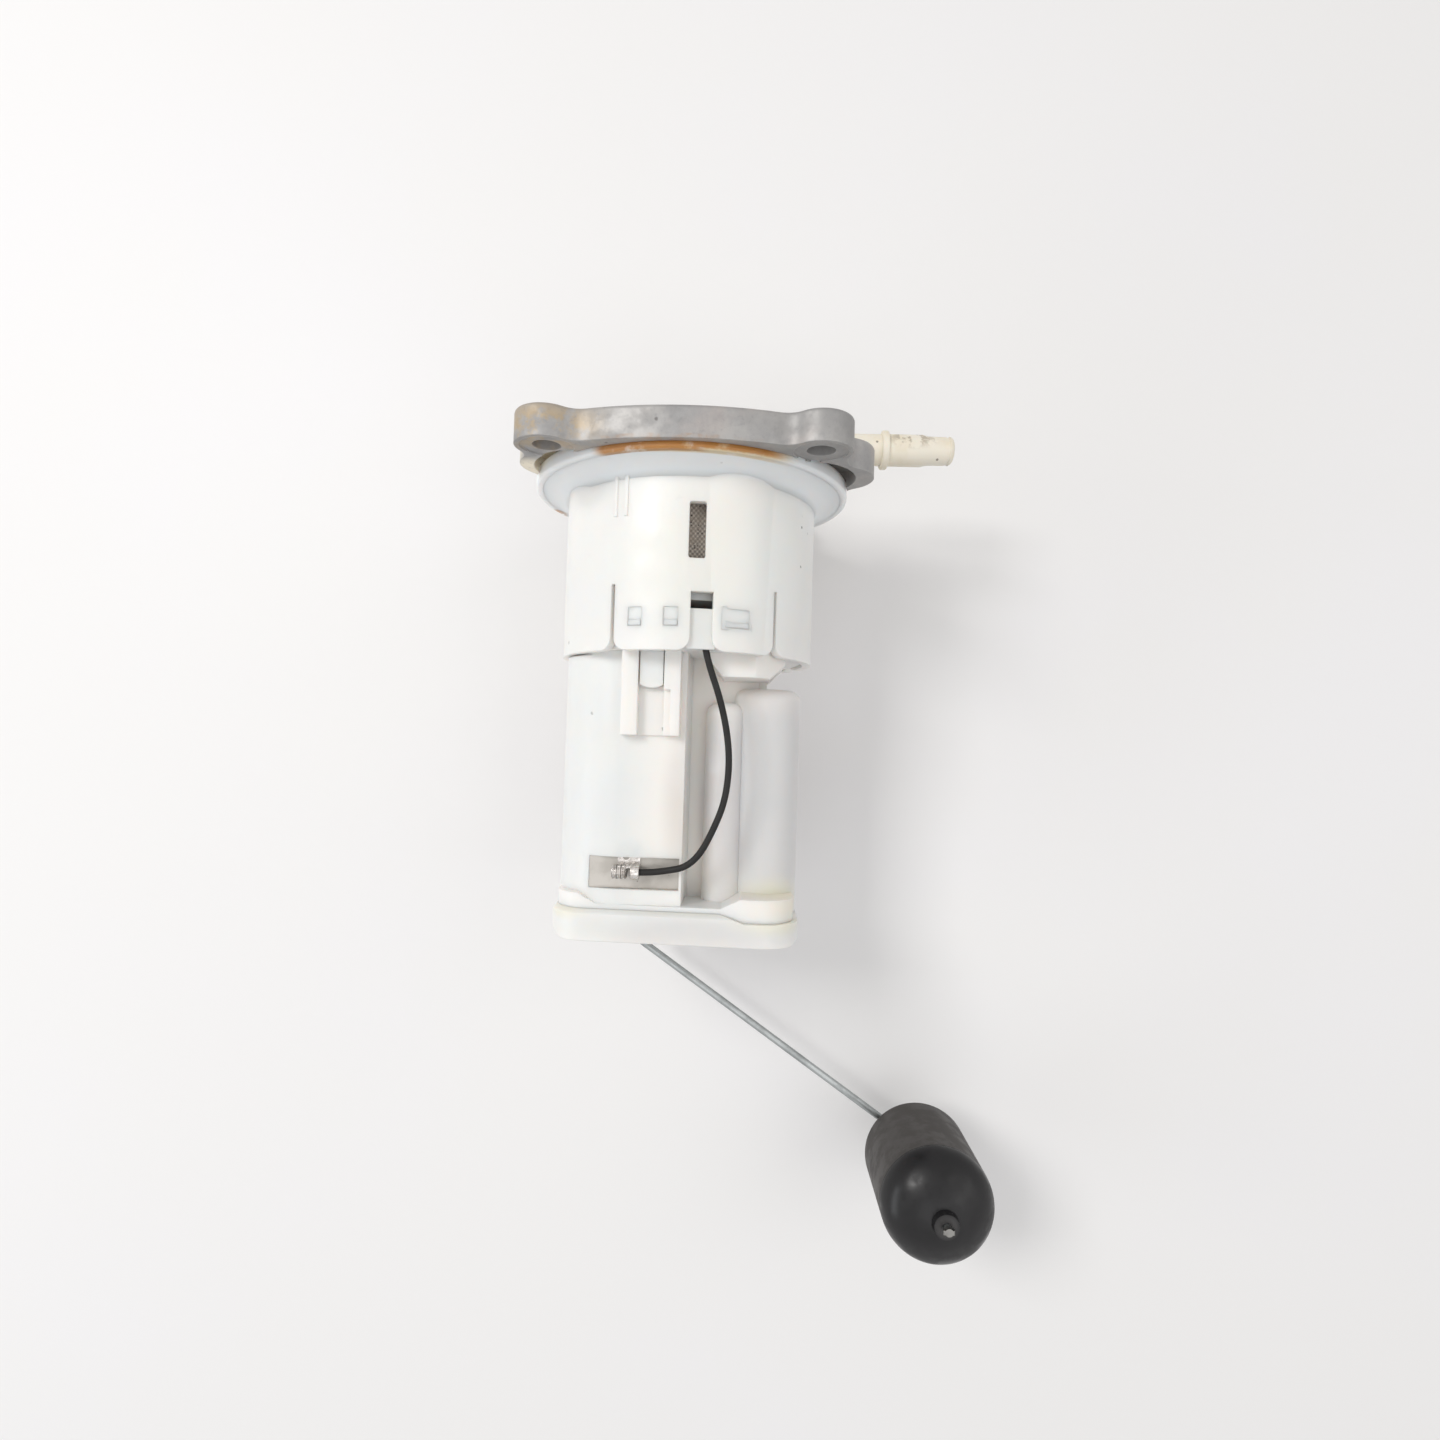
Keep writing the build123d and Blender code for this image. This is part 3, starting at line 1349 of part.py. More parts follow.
def make_ground_terminal():
    seat_y = ground_plate_front_y - ground_plate_seat
    strip_z = barrel_z + 1.0
    terminal = block(terminal_plate_left, terminal_plate_right, seat_y - terminal_thickness, seat_y,
                     strip_z, terminal_plate_top())
    hole = Plane(origin=(terminal_x - 0.6, seat_y - 1, -window_top), z_dir=(0, 1, 0))
    terminal -= hole * Cylinder(terminal_hole_radius, 2, align=MIN_Z)
    terminal += block(terminal_plate_left, terminal_plate_right, barrel_y - 0.9, seat_y,
                      strip_z, strip_z + terminal_thickness)
    conductor_barrel = (terminal_x - 3.9, terminal_x, barrel_radius - 0.2)
    jacket_barrel = (terminal_x + 0.9, terminal_x + 3.2, barrel_radius)
    for start, end, radius in (conductor_barrel, jacket_barrel):
        axis = Plane(origin=(start, barrel_y, barrel_z), z_dir=(1, 0, 0))
        barrel = Cylinder(radius, end - start, align=MIN_Z)
        barrel = fillet(barrel.edges().filter_by(GeomType.CIRCLE), 0.3)
        terminal += axis * barrel
    bore = Plane(origin=(lead_route()[0][0], barrel_y, lead_route()[0][2]), z_dir=(1, 0, 0))
    terminal -= bore * Cylinder(lead_radius + lead_fit, 12, align=MIN_Z)
    return terminal


def make_lead_terminal():
    tab_x = pump_x + pump_tab_x
    tab_y = pump_y + pump_tab_y
    tab_top = -end_cap_top + pump_tab[2]
    socket = Pos(tab_x, tab_y, tab_top - 5) * Box(pump_tab[0] + 1.4, pump_tab[1] + 1.4, 5.4, align=MIN_Z)
    socket -= Pos(tab_x, tab_y, tab_top - 6) * Box(pump_tab[0] + 0.1, pump_tab[1] + 0.1, 6.1, align=MIN_Z)
    end = Vector(*lead_route()[-1])
    before = Vector(*lead_route()[-2])
    along = (end - before).normalized()
    barrel = Plane(origin=end - along * 2.2, z_dir=along) * (
        Cylinder(1.35, 8.0, align=MIN_Z) - Cylinder(lead_radius + lead_fit, 2.2, align=MIN_Z)
    )
    socket_cut = Pos(tab_x, tab_y, tab_top - 6) * Box(pump_tab[0] + 0.1, pump_tab[1] + 0.1, 6.1, align=MIN_Z)
    return (socket + barrel) - socket_cut


parts = {
    "retaining_ring": make_retaining_ring,
    "flange": make_flange,
    "outlet_joint": make_outlet_joint,
    "outlet_seal": make_outlet_seal,
    "outlet_screws": make_outlet_screws,
    "connector_terminals": make_connector_terminals,
    "filter_element": make_filter_element,
    "filter_seal": make_filter_seal,
    "filter_case": make_filter_case,
    "pump_holder": make_pump_holder,
    "strainer_cover": make_strainer_cover,
    "suction_strainer": make_suction_strainer,
    "pump_can": make_pump_can,
    "pump_inlet_cover": make_pump_inlet_cover,
    "pump_casing": make_pump_casing,
    "impeller": make_impeller,
    "pump_shaft": make_pump_shaft,
    "shaft_bushes": make_shaft_bushes,
    "armature": make_armature,
    "windings": make_windings,
    "commutator": make_commutator,
    "magnets": make_magnets,
    "brushes": make_brushes,
    "brush_springs": make_brush_springs,
    "pump_end_cap": make_pump_end_cap,
    "pump_seal": make_pump_seal,
    "check_valve": make_check_valve,
    "check_spring": make_check_spring,
    "valve_stop": make_valve_stop,
    "regulator_body": make_regulator_body,
    "regulator_seal": make_regulator_seal,
    "regulator_valve": make_regulator_valve,
    "regulator_spring": make_regulator_spring,
    "regulator_clip": make_regulator_clip,
    "sensor_case": make_sensor_case,
    "resistor_card": make_resistor_card,
    "sensor_terminals": make_sensor_terminals,
    "arm_holder": make_arm_holder,
    "contact_wiper": make_contact_wiper,
    "pivot_clip": make_pivot_clip,
    "float_arm": make_float_arm,
    "float_body": make_float_body,
    "float_cap": make_float_cap,
    "ground_lead": make_ground_lead,
    "ground_plate": make_ground_plate,
    "ground_terminal": make_ground_terminal,
    "lead_terminal": make_lead_terminal,
}

os.makedirs("parts", exist_ok=True)
for name, make in parts.items():
    export_step(make(), f"parts/{name}.step")
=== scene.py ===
import bpy
import json
import math
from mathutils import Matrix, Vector


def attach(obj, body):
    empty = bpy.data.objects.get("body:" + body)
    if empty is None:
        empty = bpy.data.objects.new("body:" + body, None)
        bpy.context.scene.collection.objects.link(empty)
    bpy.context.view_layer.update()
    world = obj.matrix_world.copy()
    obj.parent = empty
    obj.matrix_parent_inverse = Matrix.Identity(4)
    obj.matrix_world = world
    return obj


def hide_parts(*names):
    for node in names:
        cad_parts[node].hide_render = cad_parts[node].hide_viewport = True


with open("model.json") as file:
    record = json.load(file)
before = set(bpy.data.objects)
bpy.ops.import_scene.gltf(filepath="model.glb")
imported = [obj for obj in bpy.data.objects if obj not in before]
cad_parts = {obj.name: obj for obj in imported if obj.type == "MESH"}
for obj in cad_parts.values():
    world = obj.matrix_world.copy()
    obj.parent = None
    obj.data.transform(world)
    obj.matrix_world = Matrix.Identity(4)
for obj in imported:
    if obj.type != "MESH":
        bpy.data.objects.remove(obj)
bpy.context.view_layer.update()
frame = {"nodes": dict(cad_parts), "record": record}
parts = frame["nodes"]
bpy.ops.object.select_all(action="DESELECT")
print("frame loaded with", len(parts), "parts")

mm = 0.001

# the camera looks along +Y at the module, which lies on its back on a pale table
cameraSetup = {
    "place": (15.96, -229.28, -69.06),  # mm
    "turn": (91.6917, -1.7301, 1.4864),  # degrees
    "lens": 20.03,
    "sensor": 36.0,
    "nearest": 0.01,  # m
    "farthest": 20.0,  # m
}


def makeCamera(setup):
    data = bpy.data.cameras.new("camera")
    data.lens = setup["lens"]
    data.sensor_width = setup["sensor"]
    data.clip_start = setup["nearest"]
    data.clip_end = setup["farthest"]
    made = bpy.data.objects.new("camera", data)
    made.location = Vector(setup["place"]) * mm
    made.rotation_euler = [math.radians(angle) for angle in setup["turn"]]
    bpy.context.scene.collection.objects.link(made)
    bpy.context.scene.camera = made


makeCamera(cameraSetup)
print("camera set")


# another node's output is linked to a socket, and a plain value is set on it
def feed(tree, value, socket):
    if isinstance(value, bpy.types.NodeSocket):
        tree.links.new(value, socket)
    elif socket.type == "RGBA":
        socket.default_value = (*value, 1.0)
    else:
        socket.default_value = value


def addNode(tree, kind, place=(0, 0), inputs=None, **settings):
    made = tree.nodes.new(kind)
    made.location = place
    for name, value in settings.items():
        setattr(made, name, value)
    for socket, value in (inputs or {}).items():
        feed(tree, value, made.inputs[socket])
    return made


def mathNode(tree, kind, *values, clamp=False):
    made = addNode(tree, "ShaderNodeMath", inputs=dict(enumerate(values)), operation=kind, use_clamp=clamp)
    return made.outputs[0]


def vectorNode(tree, kind, *values, place=(0, 0)):
    made = addNode(tree, "ShaderNodeVectorMath", place, dict(enumerate(values)), operation=kind)
    return made.outputs["Value" if kind in ("LENGTH", "DOT_PRODUCT") else "Vector"]


def rampNode(tree, value, low, high, lowValue=0.0, highValue=1.0):
    made = addNode(tree, "ShaderNodeMapRange", interpolation_type="SMOOTHSTEP", inputs={
        "Value": value, "From Min": low, "From Max": high, "To Min": lowValue, "To Max": highValue,
    })
    return made.outputs["Result"]


# a Mix node's share is its socket 0, and its colours are 6 and 7, and 2 on the way out
def mixColour(tree, share, first, second):
    made = addNode(tree, "ShaderNodeMix", data_type="RGBA", inputs={0: share, 6: first, 7: second})
    return made.outputs[2]


def newGroup(name, inputs, outputs):
    group = bpy.data.node_groups.new(name, "ShaderNodeTree")
    for label, kind, value in inputs:
        made = group.interface.new_socket(name=label, in_out="INPUT", socket_type=kind)
        if value is not None:
            made.default_value = value
    for label, kind in outputs:
        group.interface.new_socket(name=label, in_out="OUTPUT", socket_type=kind)
    start = addNode(group, "NodeGroupInput", (-900, 0))
    end = addNode(group, "NodeGroupOutput", (900, 0))
    return group, start.outputs, end.inputs


floatSocket = "NodeSocketFloat"
vectorSocket = "NodeSocketVector"


# cloudy variation, for patina, dirt and uneven moulding
def buildCloudGroup(roughness=0.6):
    group, given, out = newGroup(
        "clouds",
        [("Vector", vectorSocket, None), ("Scale", floatSocket, 60.0), ("Low", floatSocket, 0.4),
         ("High", floatSocket, 0.6), ("Detail", floatSocket, 5.0)],
        [("Mask", floatSocket)],
    )
    noise = addNode(group, "ShaderNodeTexNoise", (-500, 0), {
        "Vector": given["Vector"], "Scale": given["Scale"], "Detail": given["Detail"], "Roughness": roughness,
    })
    feed(group, rampNode(group, noise.outputs["Fac"], given["Low"], given["High"]), out["Mask"])
    return group


# scattered dark specks with ragged edges: Amount is the share of cells that carry one
speckShape = {
    "wobbleScale": 900.0,
    "wobbleShare": 0.25,
    "wobbleMiddle": 0.12,
    "edgeGain": 12.0,
}


def buildSpeckGroup(shape):
    group, given, out = newGroup(
        "specks",
        [("Vector", vectorSocket, None), ("Scale", floatSocket, 400.0), ("Amount", floatSocket, 0.1),
         ("Size", floatSocket, 0.25)],
        [("Mask", floatSocket)],
    )
    wobble = addNode(group, "ShaderNodeTexNoise", (-700, -250), {
        "Vector": given["Vector"], "Scale": shape["wobbleScale"],
    })
    cells = addNode(group, "ShaderNodeTexVoronoi", (-500, 0), {
        "Vector": given["Vector"], "Scale": given["Scale"],
    }, feature="F1")
    pick = addNode(group, "ShaderNodeSeparateColor", (-250, 150), {"Color": cells.outputs["Color"]})
    chosen = mathNode(group, "LESS_THAN", pick.outputs["Red"], given["Amount"])
    ragged = mathNode(group, "MULTIPLY_ADD", wobble.outputs["Fac"], shape["wobbleShare"],
                      cells.outputs["Distance"])
    centred = mathNode(group, "SUBTRACT", ragged, shape["wobbleMiddle"])
    near = mathNode(group, "SUBTRACT", given["Size"], centred)
    soft = mathNode(group, "MULTIPLY", near, shape["edgeGain"], clamp=True)
    feed(group, mathNode(group, "MULTIPLY", chosen, soft), out["Mask"])
    return group


# fine hair scratches, long across the axis that has the largest stretch
def buildScratchGroup(detail=3.0, middle=0.5):
    group, given, out = newGroup(
        "scratches",
        [("Vector", vectorSocket, None), ("Stretch", vectorSocket, (1.0, 1.0, 1.0)),
         ("Scale", floatSocket, 200.0), ("Width", floatSocket, 0.03)],
        [("Mask", floatSocket), ("Height", floatSocket)],
    )
    noise = addNode(group, "ShaderNodeTexNoise", (-500, 0), {
        "Vector": vectorNode(group, "MULTIPLY", given["Vector"], given["Stretch"], place=(-700, 0)),
        "Scale": given["Scale"], "Detail": detail,
    })
    away = mathNode(group, "ABSOLUTE", mathNode(group, "SUBTRACT", noise.outputs["Fac"], middle))
    widths = mathNode(group, "DIVIDE", away, given["Width"])
    feed(group, mathNode(group, "SUBTRACT", 1.0, widths, clamp=True), out["Mask"])
    feed(group, noise.outputs["Fac"], out["Height"])
    return group


# edges: the bevelled normal leaves the face normal there
def buildEdgeGroup(samples=4):
    group, given, out = newGroup(
        "edges",
        [("Radius", floatSocket, 0.0006), ("Gain", floatSocket, 4.0)],
        [("Mask", floatSocket), ("Normal", vectorSocket)],
    )
    bevel = addNode(group, "ShaderNodeBevel", (-500, 0), {"Radius": given["Radius"]}, samples=samples)
    flat = addNode(group, "ShaderNodeNewGeometry", (-500, -250))
    alike = vectorNode(group, "DOT_PRODUCT", bevel.outputs["Normal"], flat.outputs["Normal"], place=(-250, 0))
    away = mathNode(group, "SUBTRACT", 1.0, alike)
    feed(group, mathNode(group, "MULTIPLY", away, given["Gain"], clamp=True), out["Mask"])
    feed(group, bevel.outputs["Normal"], out["Normal"])
    return group


# a soft rounded region of the object, to place a stain or a tint
def buildRegionGroup():
    group, given, out = newGroup(
        "region",
        [("Vector", vectorSocket, None), ("Centre", vectorSocket, (0.0, 0.0, 0.0)),
         ("Half", vectorSocket, (0.01, 0.01, 0.01)), ("Soft", floatSocket, 0.5)],
        [("Mask", floatSocket)],
    )
    shifted = vectorNode(group, "SUBTRACT", given["Vector"], given["Centre"], place=(-700, 0))
    scaled = vectorNode(group, "DIVIDE", shifted, given["Half"], place=(-500, 0))
    reach = vectorNode(group, "LENGTH", scaled, place=(-300, 0))
    inner = mathNode(group, "SUBTRACT", 1.0, given["Soft"])
    feed(group, rampNode(group, reach, inner, 1.0, 1.0, 0.0), out["Mask"])
    return group


# plain weave of threads, for filter cloth
def buildWeaveGroup(half=0.5, sharpness=1.6):
    group, given, out = newGroup(
        "weave",
        [("Vector", vectorSocket, None), ("Pitch", floatSocket, 0.0008)],
        [("Thread", floatSocket), ("Height", floatSocket)],
    )
    scaled = addNode(group, "ShaderNodeVectorMath", (-700, 0), operation="SCALE", inputs={
        0: given["Vector"], "Scale": mathNode(group, "DIVIDE", 2 * math.pi, given["Pitch"]),
    })
    split = addNode(group, "ShaderNodeSeparateXYZ", (-500, 0), {0: scaled.outputs[0]}).outputs
    across = mathNode(group, "SINE", mathNode(group, "ADD", split["X"], split["Y"]))
    cross = mathNode(group, "MULTIPLY", across, mathNode(group, "SINE", split["Z"]))
    lifted = mathNode(group, "MULTIPLY_ADD", cross, half, half)
    feed(group, lifted, out["Height"])
    feed(group, mathNode(group, "POWER", lifted, sharpness), out["Thread"])
    return group


cloudGroup = buildCloudGroup()
speckGroup = buildSpeckGroup(speckShape)
scratchGroup = buildScratchGroup()
edgeGroup = buildEdgeGroup()
regionGroup = buildRegionGroup()
weaveGroup = buildWeaveGroup()
print("shader groups ready")


# A material under construction. Its methods from region to scratchHeight give a mask each, and a look
# names them with their numbers, in the order of the method: places, sizes, pitches and heights are in mm,
# and the softness of a region is a share of its size.
class Finish:
    def __init__(self, name, look):
        self.material = bpy.data.materials.new(name)
        self.material.use_nodes = True
        self.tree = self.material.node_tree
        self.shader = self.tree.nodes["Principled BSDF"]
        for socket, value in look["shader"].items():
            self.shader.inputs[socket].default_value = value
        self.place = addNode(self.tree, "ShaderNodeTexCoord", (-1600, 0)).outputs["Object"]
        if "edges" in look:
            radius, gain = look["edges"]
            self.edge = self.use(edgeGroup, Radius=radius * mm, Gain=gain)
        if "scratches" in look:
            self.scratch = self.use(scratchGroup, **look["scratches"])

    def use(self, group, **values):
        made = addNode(self.tree, "ShaderNodeGroup", (-1200, 0), node_tree=group)
        if "Vector" in made.inputs:
            self.tree.links.new(self.place, made.inputs["Vector"])
        for name, value in values.items():
            made.inputs[name].default_value = value
        return made.outputs

    def region(self, centre, half, soft):
        middle, size = ([value * mm for value in values] for values in (centre, half))
        return self.use(regionGroup, Centre=middle, Half=size, Soft=soft)["Mask"]

    # a band around the module's upright axis, between two heights
    def rimBand(self, radius, width, low, high, soft):
        flat = vectorNode(self.tree, "MULTIPLY", self.place, (1.0, 1.0, 0.0), place=(-1400, 300))
        reach = vectorNode(self.tree, "LENGTH", flat, place=(-1300, 300))
        away = mathNode(self.tree, "ABSOLUTE", mathNode(self.tree, "SUBTRACT", reach, radius * mm))
        ring = rampNode(self.tree, away, (width / 2 - soft) * mm, (width / 2 + soft) * mm, 1.0, 0.0)
        above = self.upright(low - soft, low + soft)
        below = rampNode(self.tree, self.axis("Z"), (high - soft) * mm, (high + soft) * mm, 1.0, 0.0)
        return self.both(ring, self.both(above, below))

    def clouds(self, scale, low, high, detail=5.0):
        return self.use(cloudGroup, Scale=scale, Low=low, High=high, Detail=detail)["Mask"]

    def specks(self, scale, amount, size):
        return self.use(speckGroup, Scale=scale, Amount=amount, Size=size)["Mask"]

    def upright(self, low, high):
        return rampNode(self.tree, self.axis("Z"), low * mm, high * mm)

    def ribs(self, pitch, phase, low, high):
        along = mathNode(self.tree, "MULTIPLY_ADD", self.axis("X"), 2 * math.pi / (pitch * mm), phase)
        return rampNode(self.tree, mathNode(self.tree, "SINE", along), low, high)

    def either(self, first, second):
        return mathNode(self.tree, "MAXIMUM", self.mask(first), self.mask(second))

    def thread(self, pitch):
        return self.use(weaveGroup, Pitch=pitch * mm)["Thread"]

    def threadHeight(self, pitch):
        return self.use(weaveGroup, Pitch=pitch * mm)["Height"]

    def worn(self):
        return self.edge["Mask"]

    def scratched(self):
        return self.scratch["Mask"]

    def scratchHeight(self):
        return self.scratch["Height"]

    def axis(self, name):
        return addNode(self.tree, "ShaderNodeSeparateXYZ", (-1300, 200), {0: self.place}).outputs[name]

    def both(self, first, second):
        return mathNode(self.tree, "MULTIPLY", first, second)

    # the product of the masks that a look names
    def mask(self, kinds):
        total = None
        for kind, numbers in kinds.items():
            made = getattr(self, kind)(*numbers)
            total = made if total is None else self.both(total, made)
        return total


# A look is a dictionary with these entries; the last three are left out where a finish has none of them.
# shader: plain values of the shader's sockets
# base: the colour under all stains
# the stains, and in some looks painted light and shade: one over the other, each with its colour, its
# strength and its masks
# roughness: the numbers of its clouds, and its lowest and highest value
# edges: how far the edges are rounded, in mm, and how soon they show wear
# bump: the mask that gives the height, the depth in mm and the strength
def buildFinish(name, look):
    made = Finish(name, look)
    base = look["base"]
    for colour, strength, masks in look["stainsAndPaintedLight"]:
        base = mixColour(made.tree, made.both(made.mask(masks), strength), base, colour)
    feed(made.tree, base, made.shader.inputs["Base Color"])
    if "roughness" in look:
        clouds, low, high = look["roughness"]
        value = rampNode(made.tree, made.clouds(*clouds), 0, 1, low, high)
        feed(made.tree, value, made.shader.inputs["Roughness"])
    if "bump" in look:
        height, distance, strength = look["bump"]
        bump = addNode(made.tree, "ShaderNodeBump", (-300, -400), {
            "Distance": distance * mm, "Strength": strength, "Height": made.mask(height),
        })
        if "edges" in look:
            feed(made.tree, made.edge["Normal"], bump.inputs["Normal"])
        feed(made.tree, bump.outputs["Normal"], made.shader.inputs["Normal"])
    return made


# the colours that the white mouldings share
acetalTones = {
    "body": (0.89, 0.86, 0.82),
    "cool": (0.82, 0.82, 0.835),
    "cream": (0.89, 0.83, 0.755),
    "paintedUndersideLight": (0.955, 0.95, 0.945),
    "ivory": (0.895, 0.86, 0.795),
    "paintedSkirtLight": (0.95, 0.925, 0.88),
    "amber": (0.87, 0.80, 0.62),
    "soil": (0.52, 0.45, 0.38),
    "rust": (0.47, 0.20, 0.035),
    "stain": (0.74, 0.50, 0.22),
    "speck": (0.10, 0.085, 0.075),
}


# white acetal: milky, a little light goes in, cooler in the thick parts
def acetalLook(stainsAndPaintedLight=()):
    return {
        "shader": {"Roughness": 0.42, "Subsurface Weight": 0.6, "Subsurface Scale": 1.0, "IOR": 1.48,
                   "Subsurface Radius": (0.0048, 0.0036, 0.0030)},  # m
        "base": acetalTones["body"],
        "stainsAndPaintedLight": [
            (acetalTones["cool"], 0.35, {"clouds": (38.0, 0.40, 0.65)}),
            (acetalTones["cream"], 0.5, {"clouds": (24.0, 0.5, 0.72)}),
            (acetalTones["soil"], 0.10, {"clouds": (300.0, 0.62, 0.80, 8.0)}),
            (acetalTones["speck"], 0.5, {"specks": (260.0, 0.012, 0.16)}),
            *stainsAndPaintedLight,
        ],
        "roughness": ((90.0, 0.35, 0.7), 0.34, 0.5),
        "edges": (0.35, 4.0),
        "bump": ({"clouds": (700.0, 0.3, 0.7, 3.0)}, 0.012, 0.6),
    }


# painted light on the disc's rim and underside, the rust that the ring has left on it, and the warmer skirt
# with painted light on its right front
flangeStainsAndPaintedLight = [
    # painted light: the disc's rim and underside made paler than the body
    (acetalTones["paintedUndersideLight"], 0.9, {"rimBand": (40.0, 9.0, -3.0, 2.4, 0.6)}),
    (acetalTones["stain"], 0.75, {"region": ((12, -44, 1), (26, 16, 7), 0.6),
                                  "rimBand": (43.4, 4.4, -0.6, 3.4, 0.45), "clouds": (110.0, 0.30, 0.50)}),
    (acetalTones["rust"], 0.95, {
        "either": (
            {"region": ((4, -44, 1), (31, 14, 7), 0.4), "rimBand": (43.8, 3.4, 0.2, 3.4, 0.25)},
            {"region": ((-9, -44, 1), (17, 12, 7), 0.3), "rimBand": (43.6, 3.4, -0.25, 3.4, 0.3)},
        ),
        "clouds": (140.0, 0.22, 0.46),
    }),
    (acetalTones["rust"], 0.8, {"region": ((-42.5, 13.0, 0.3), (4.0, 5.5, 1.6), 0.5),
                                "clouds": (160.0, 0.35, 0.5)}),
    (acetalTones["speck"], 0.85, {"region": ((30.5, -17, -17), (4, 8, 10), 0.4),
                                  "specks": (560.0, 0.16, 0.26)}),
    (acetalTones["ivory"], 0.75, {"region": ((4, -35, -27), (24, 14, 23), 0.6)}),
    # painted light: the skirt's right front made brighter
    (acetalTones["paintedSkirtLight"], 0.85, {"region": ((24, -28, -26), (20, 16, 26), 0.7)}),
    (acetalTones["speck"], 0.7, {"rimBand": (41.0, 7.0, -1.0, 1.5, 0.3), "specks": (330.0, 0.05, 0.16)}),
]

# painted shade greys the cover's lower front, and it is amber along its seam
coverShadeAndStains = [
    # painted shade over the cover's lower front
    ((0.745, 0.715, 0.695), 0.85, {"region": ((4, -28, -119), (30, 12, 9), 0.6)}),
    (acetalTones["amber"], 0.6, {"region": ((-30, -22, -112.5), (12, 9, 3.6), 0.8)}),
    (acetalTones["amber"], 0.4, {"region": ((0, -26, -111.5), (34, 6, 2.2), 0.8)}),
    (acetalTones["amber"], 0.7, {"region": ((26, -24, -113), (16, 12, 6), 0.8)}),
]

# painted shade darkens the holder towards its right side, across its chamber's front and in the channel
# beside the lead
holderShadeAndStains = [
    # painted shade towards the holder's right side
    ((0.665, 0.65, 0.65), 0.85, {"region": ((27, -13, -82), (25, 26, 38), 0.5)}),
    # painted shade, in the acetal's warmer tone, across the chamber's front
    ((0.72, 0.685, 0.645), 0.85, {"region": ((3, -26, -85), (9, 9, 27), 0.7)}),
    # painted shade in the channel beside the lead
    ((0.66, 0.645, 0.645), 0.7, {"region": ((11, -15, -85), (9, 13, 34), 0.6)}),
    (acetalTones["cool"], 0.4, {"region": ((8, -20, -78), (16, 12, 26), 0.8),
                                "clouds": (60.0, 0.45, 0.62, 2.0)}),
    ((0.86, 0.80, 0.62), 0.7, {"region": ((26, -16, -110), (14, 14, 8), 0.9)}),
]

# ivory nylon of the outlet joint, stained and specked by use
nylonLook = {
    "shader": {"Roughness": 0.46, "Subsurface Weight": 0.2, "Subsurface Radius": (0.002, 0.0014, 0.001)},
    "base": (0.86, 0.81, 0.70),
    "stainsAndPaintedLight": [
        ((0.80, 0.73, 0.58), 1.0, {"clouds": (80.0, 0.4, 0.65)}),
        ((0.34, 0.27, 0.19), 0.75, {"region": ((62, -3, 19), (9, 5, 4), 0.7), "clouds": (420.0, 0.48, 0.60)}),
        ((0.12, 0.09, 0.06), 0.75, {"specks": (520.0, 0.07, 0.22)}),
    ],
    "roughness": ((120.0, 0.35, 0.65), 0.38, 0.56),
    "edges": (0.3, 4.0),
    "bump": ({"clouds": (900.0, 0.3, 0.7)}, 0.01, 0.7),
}

# die-cast aluminium, dulled, with a tan patina towards the left lugs, painted shade on its right front and
# painted light on its left lug
ringDark = (0.25, 0.25, 0.255)
ringLook = {
    "shader": {"Roughness": 0.6, "Metallic": 0.5},
    "base": (0.40, 0.39, 0.38),
    "stainsAndPaintedLight": [
        (ringDark, 0.55, {"clouds": (70.0, 0.42, 0.66, 7.0)}),
        ((0.50, 0.42, 0.385), 0.4, {"clouds": (45.0, 0.5, 0.66)}),
        # painted shade on the ring's right front
        ((0.295, 0.29, 0.285), 0.7, {"region": ((34, -40, 7), (26, 18, 9), 0.8)}),
        ((0.47, 0.35, 0.20), 0.8, {"region": ((-33, -42, 5), (20, 14, 8), 0.9),
                                   "clouds": (170.0, 0.42, 0.56)}),
        ((0.38, 0.19, 0.06), 0.3, {"region": ((-2, -45.5, 1.9), (28, 5, 0.9), 0.5),
                                   "clouds": (260.0, 0.40, 0.58)}),
        # painted light: the left lug made bright cream
        ((0.95, 0.88, 0.72), 0.8, {"region": ((-40, -20, 3.0), (10, 13, 8), 0.5)}),
        (ringDark, 0.35, {"clouds": (900.0, 0.52, 0.72, 8.0)}),
        ((0.62, 0.61, 0.60), 0.45, {"worn": ()}),
        ((0.09, 0.08, 0.075), 0.55, {"specks": (330.0, 0.06, 0.2)}),
    ],
    "roughness": ((160.0, 0.35, 0.65), 0.52, 0.72),
    "edges": (0.5, 5.0),
    "bump": ({"clouds": (1100.0, 0.25, 0.75, 9.0)}, 0.035, 0.6),
}

# wound filter cloth with its threads and caught dirt
filterPitch = 1.3
filterLook = {
    "shader": {"Roughness": 0.85, "Sheen Weight": 0.25, "Sheen Roughness": 0.5},
    "base": (0.33, 0.295, 0.265),
    "stainsAndPaintedLight": [
        ((0.84, 0.77, 0.70), 1.0, {"thread": (filterPitch,)}),
        ((0.42, 0.35, 0.28), 0.5, {"clouds": (90.0, 0.42, 0.6)}),
        ((0.05, 0.045, 0.04), 0.75, {"specks": (1100.0, 0.30, 0.3)}),
    ],
    "bump": ({"threadHeight": (filterPitch,)}, 0.2, 1.0),
}

# the can: plated steel that darkens towards its foot
canLook = {
    "shader": {"Roughness": 0.34, "Metallic": 0.85},
    "base": (0.34, 0.335, 0.325),
    "stainsAndPaintedLight": [
        ((0.58, 0.575, 0.56), 1.0, {"upright": (-108.0, -98.0)}),
        ((0.24, 0.23, 0.215), 0.4, {"clouds": (140.0, 0.45, 0.68, 7.0)}),
        ((0.10, 0.09, 0.08), 0.5, {"specks": (500.0, 0.05, 0.2)}),
    ],
    "roughness": ((240.0, 0.35, 0.65), 0.28, 0.46),
    "edges": (0.3, 4.0),
    "bump": ({"clouds": (1300.0, 0.3, 0.7)}, 0.008, 0.8),
}

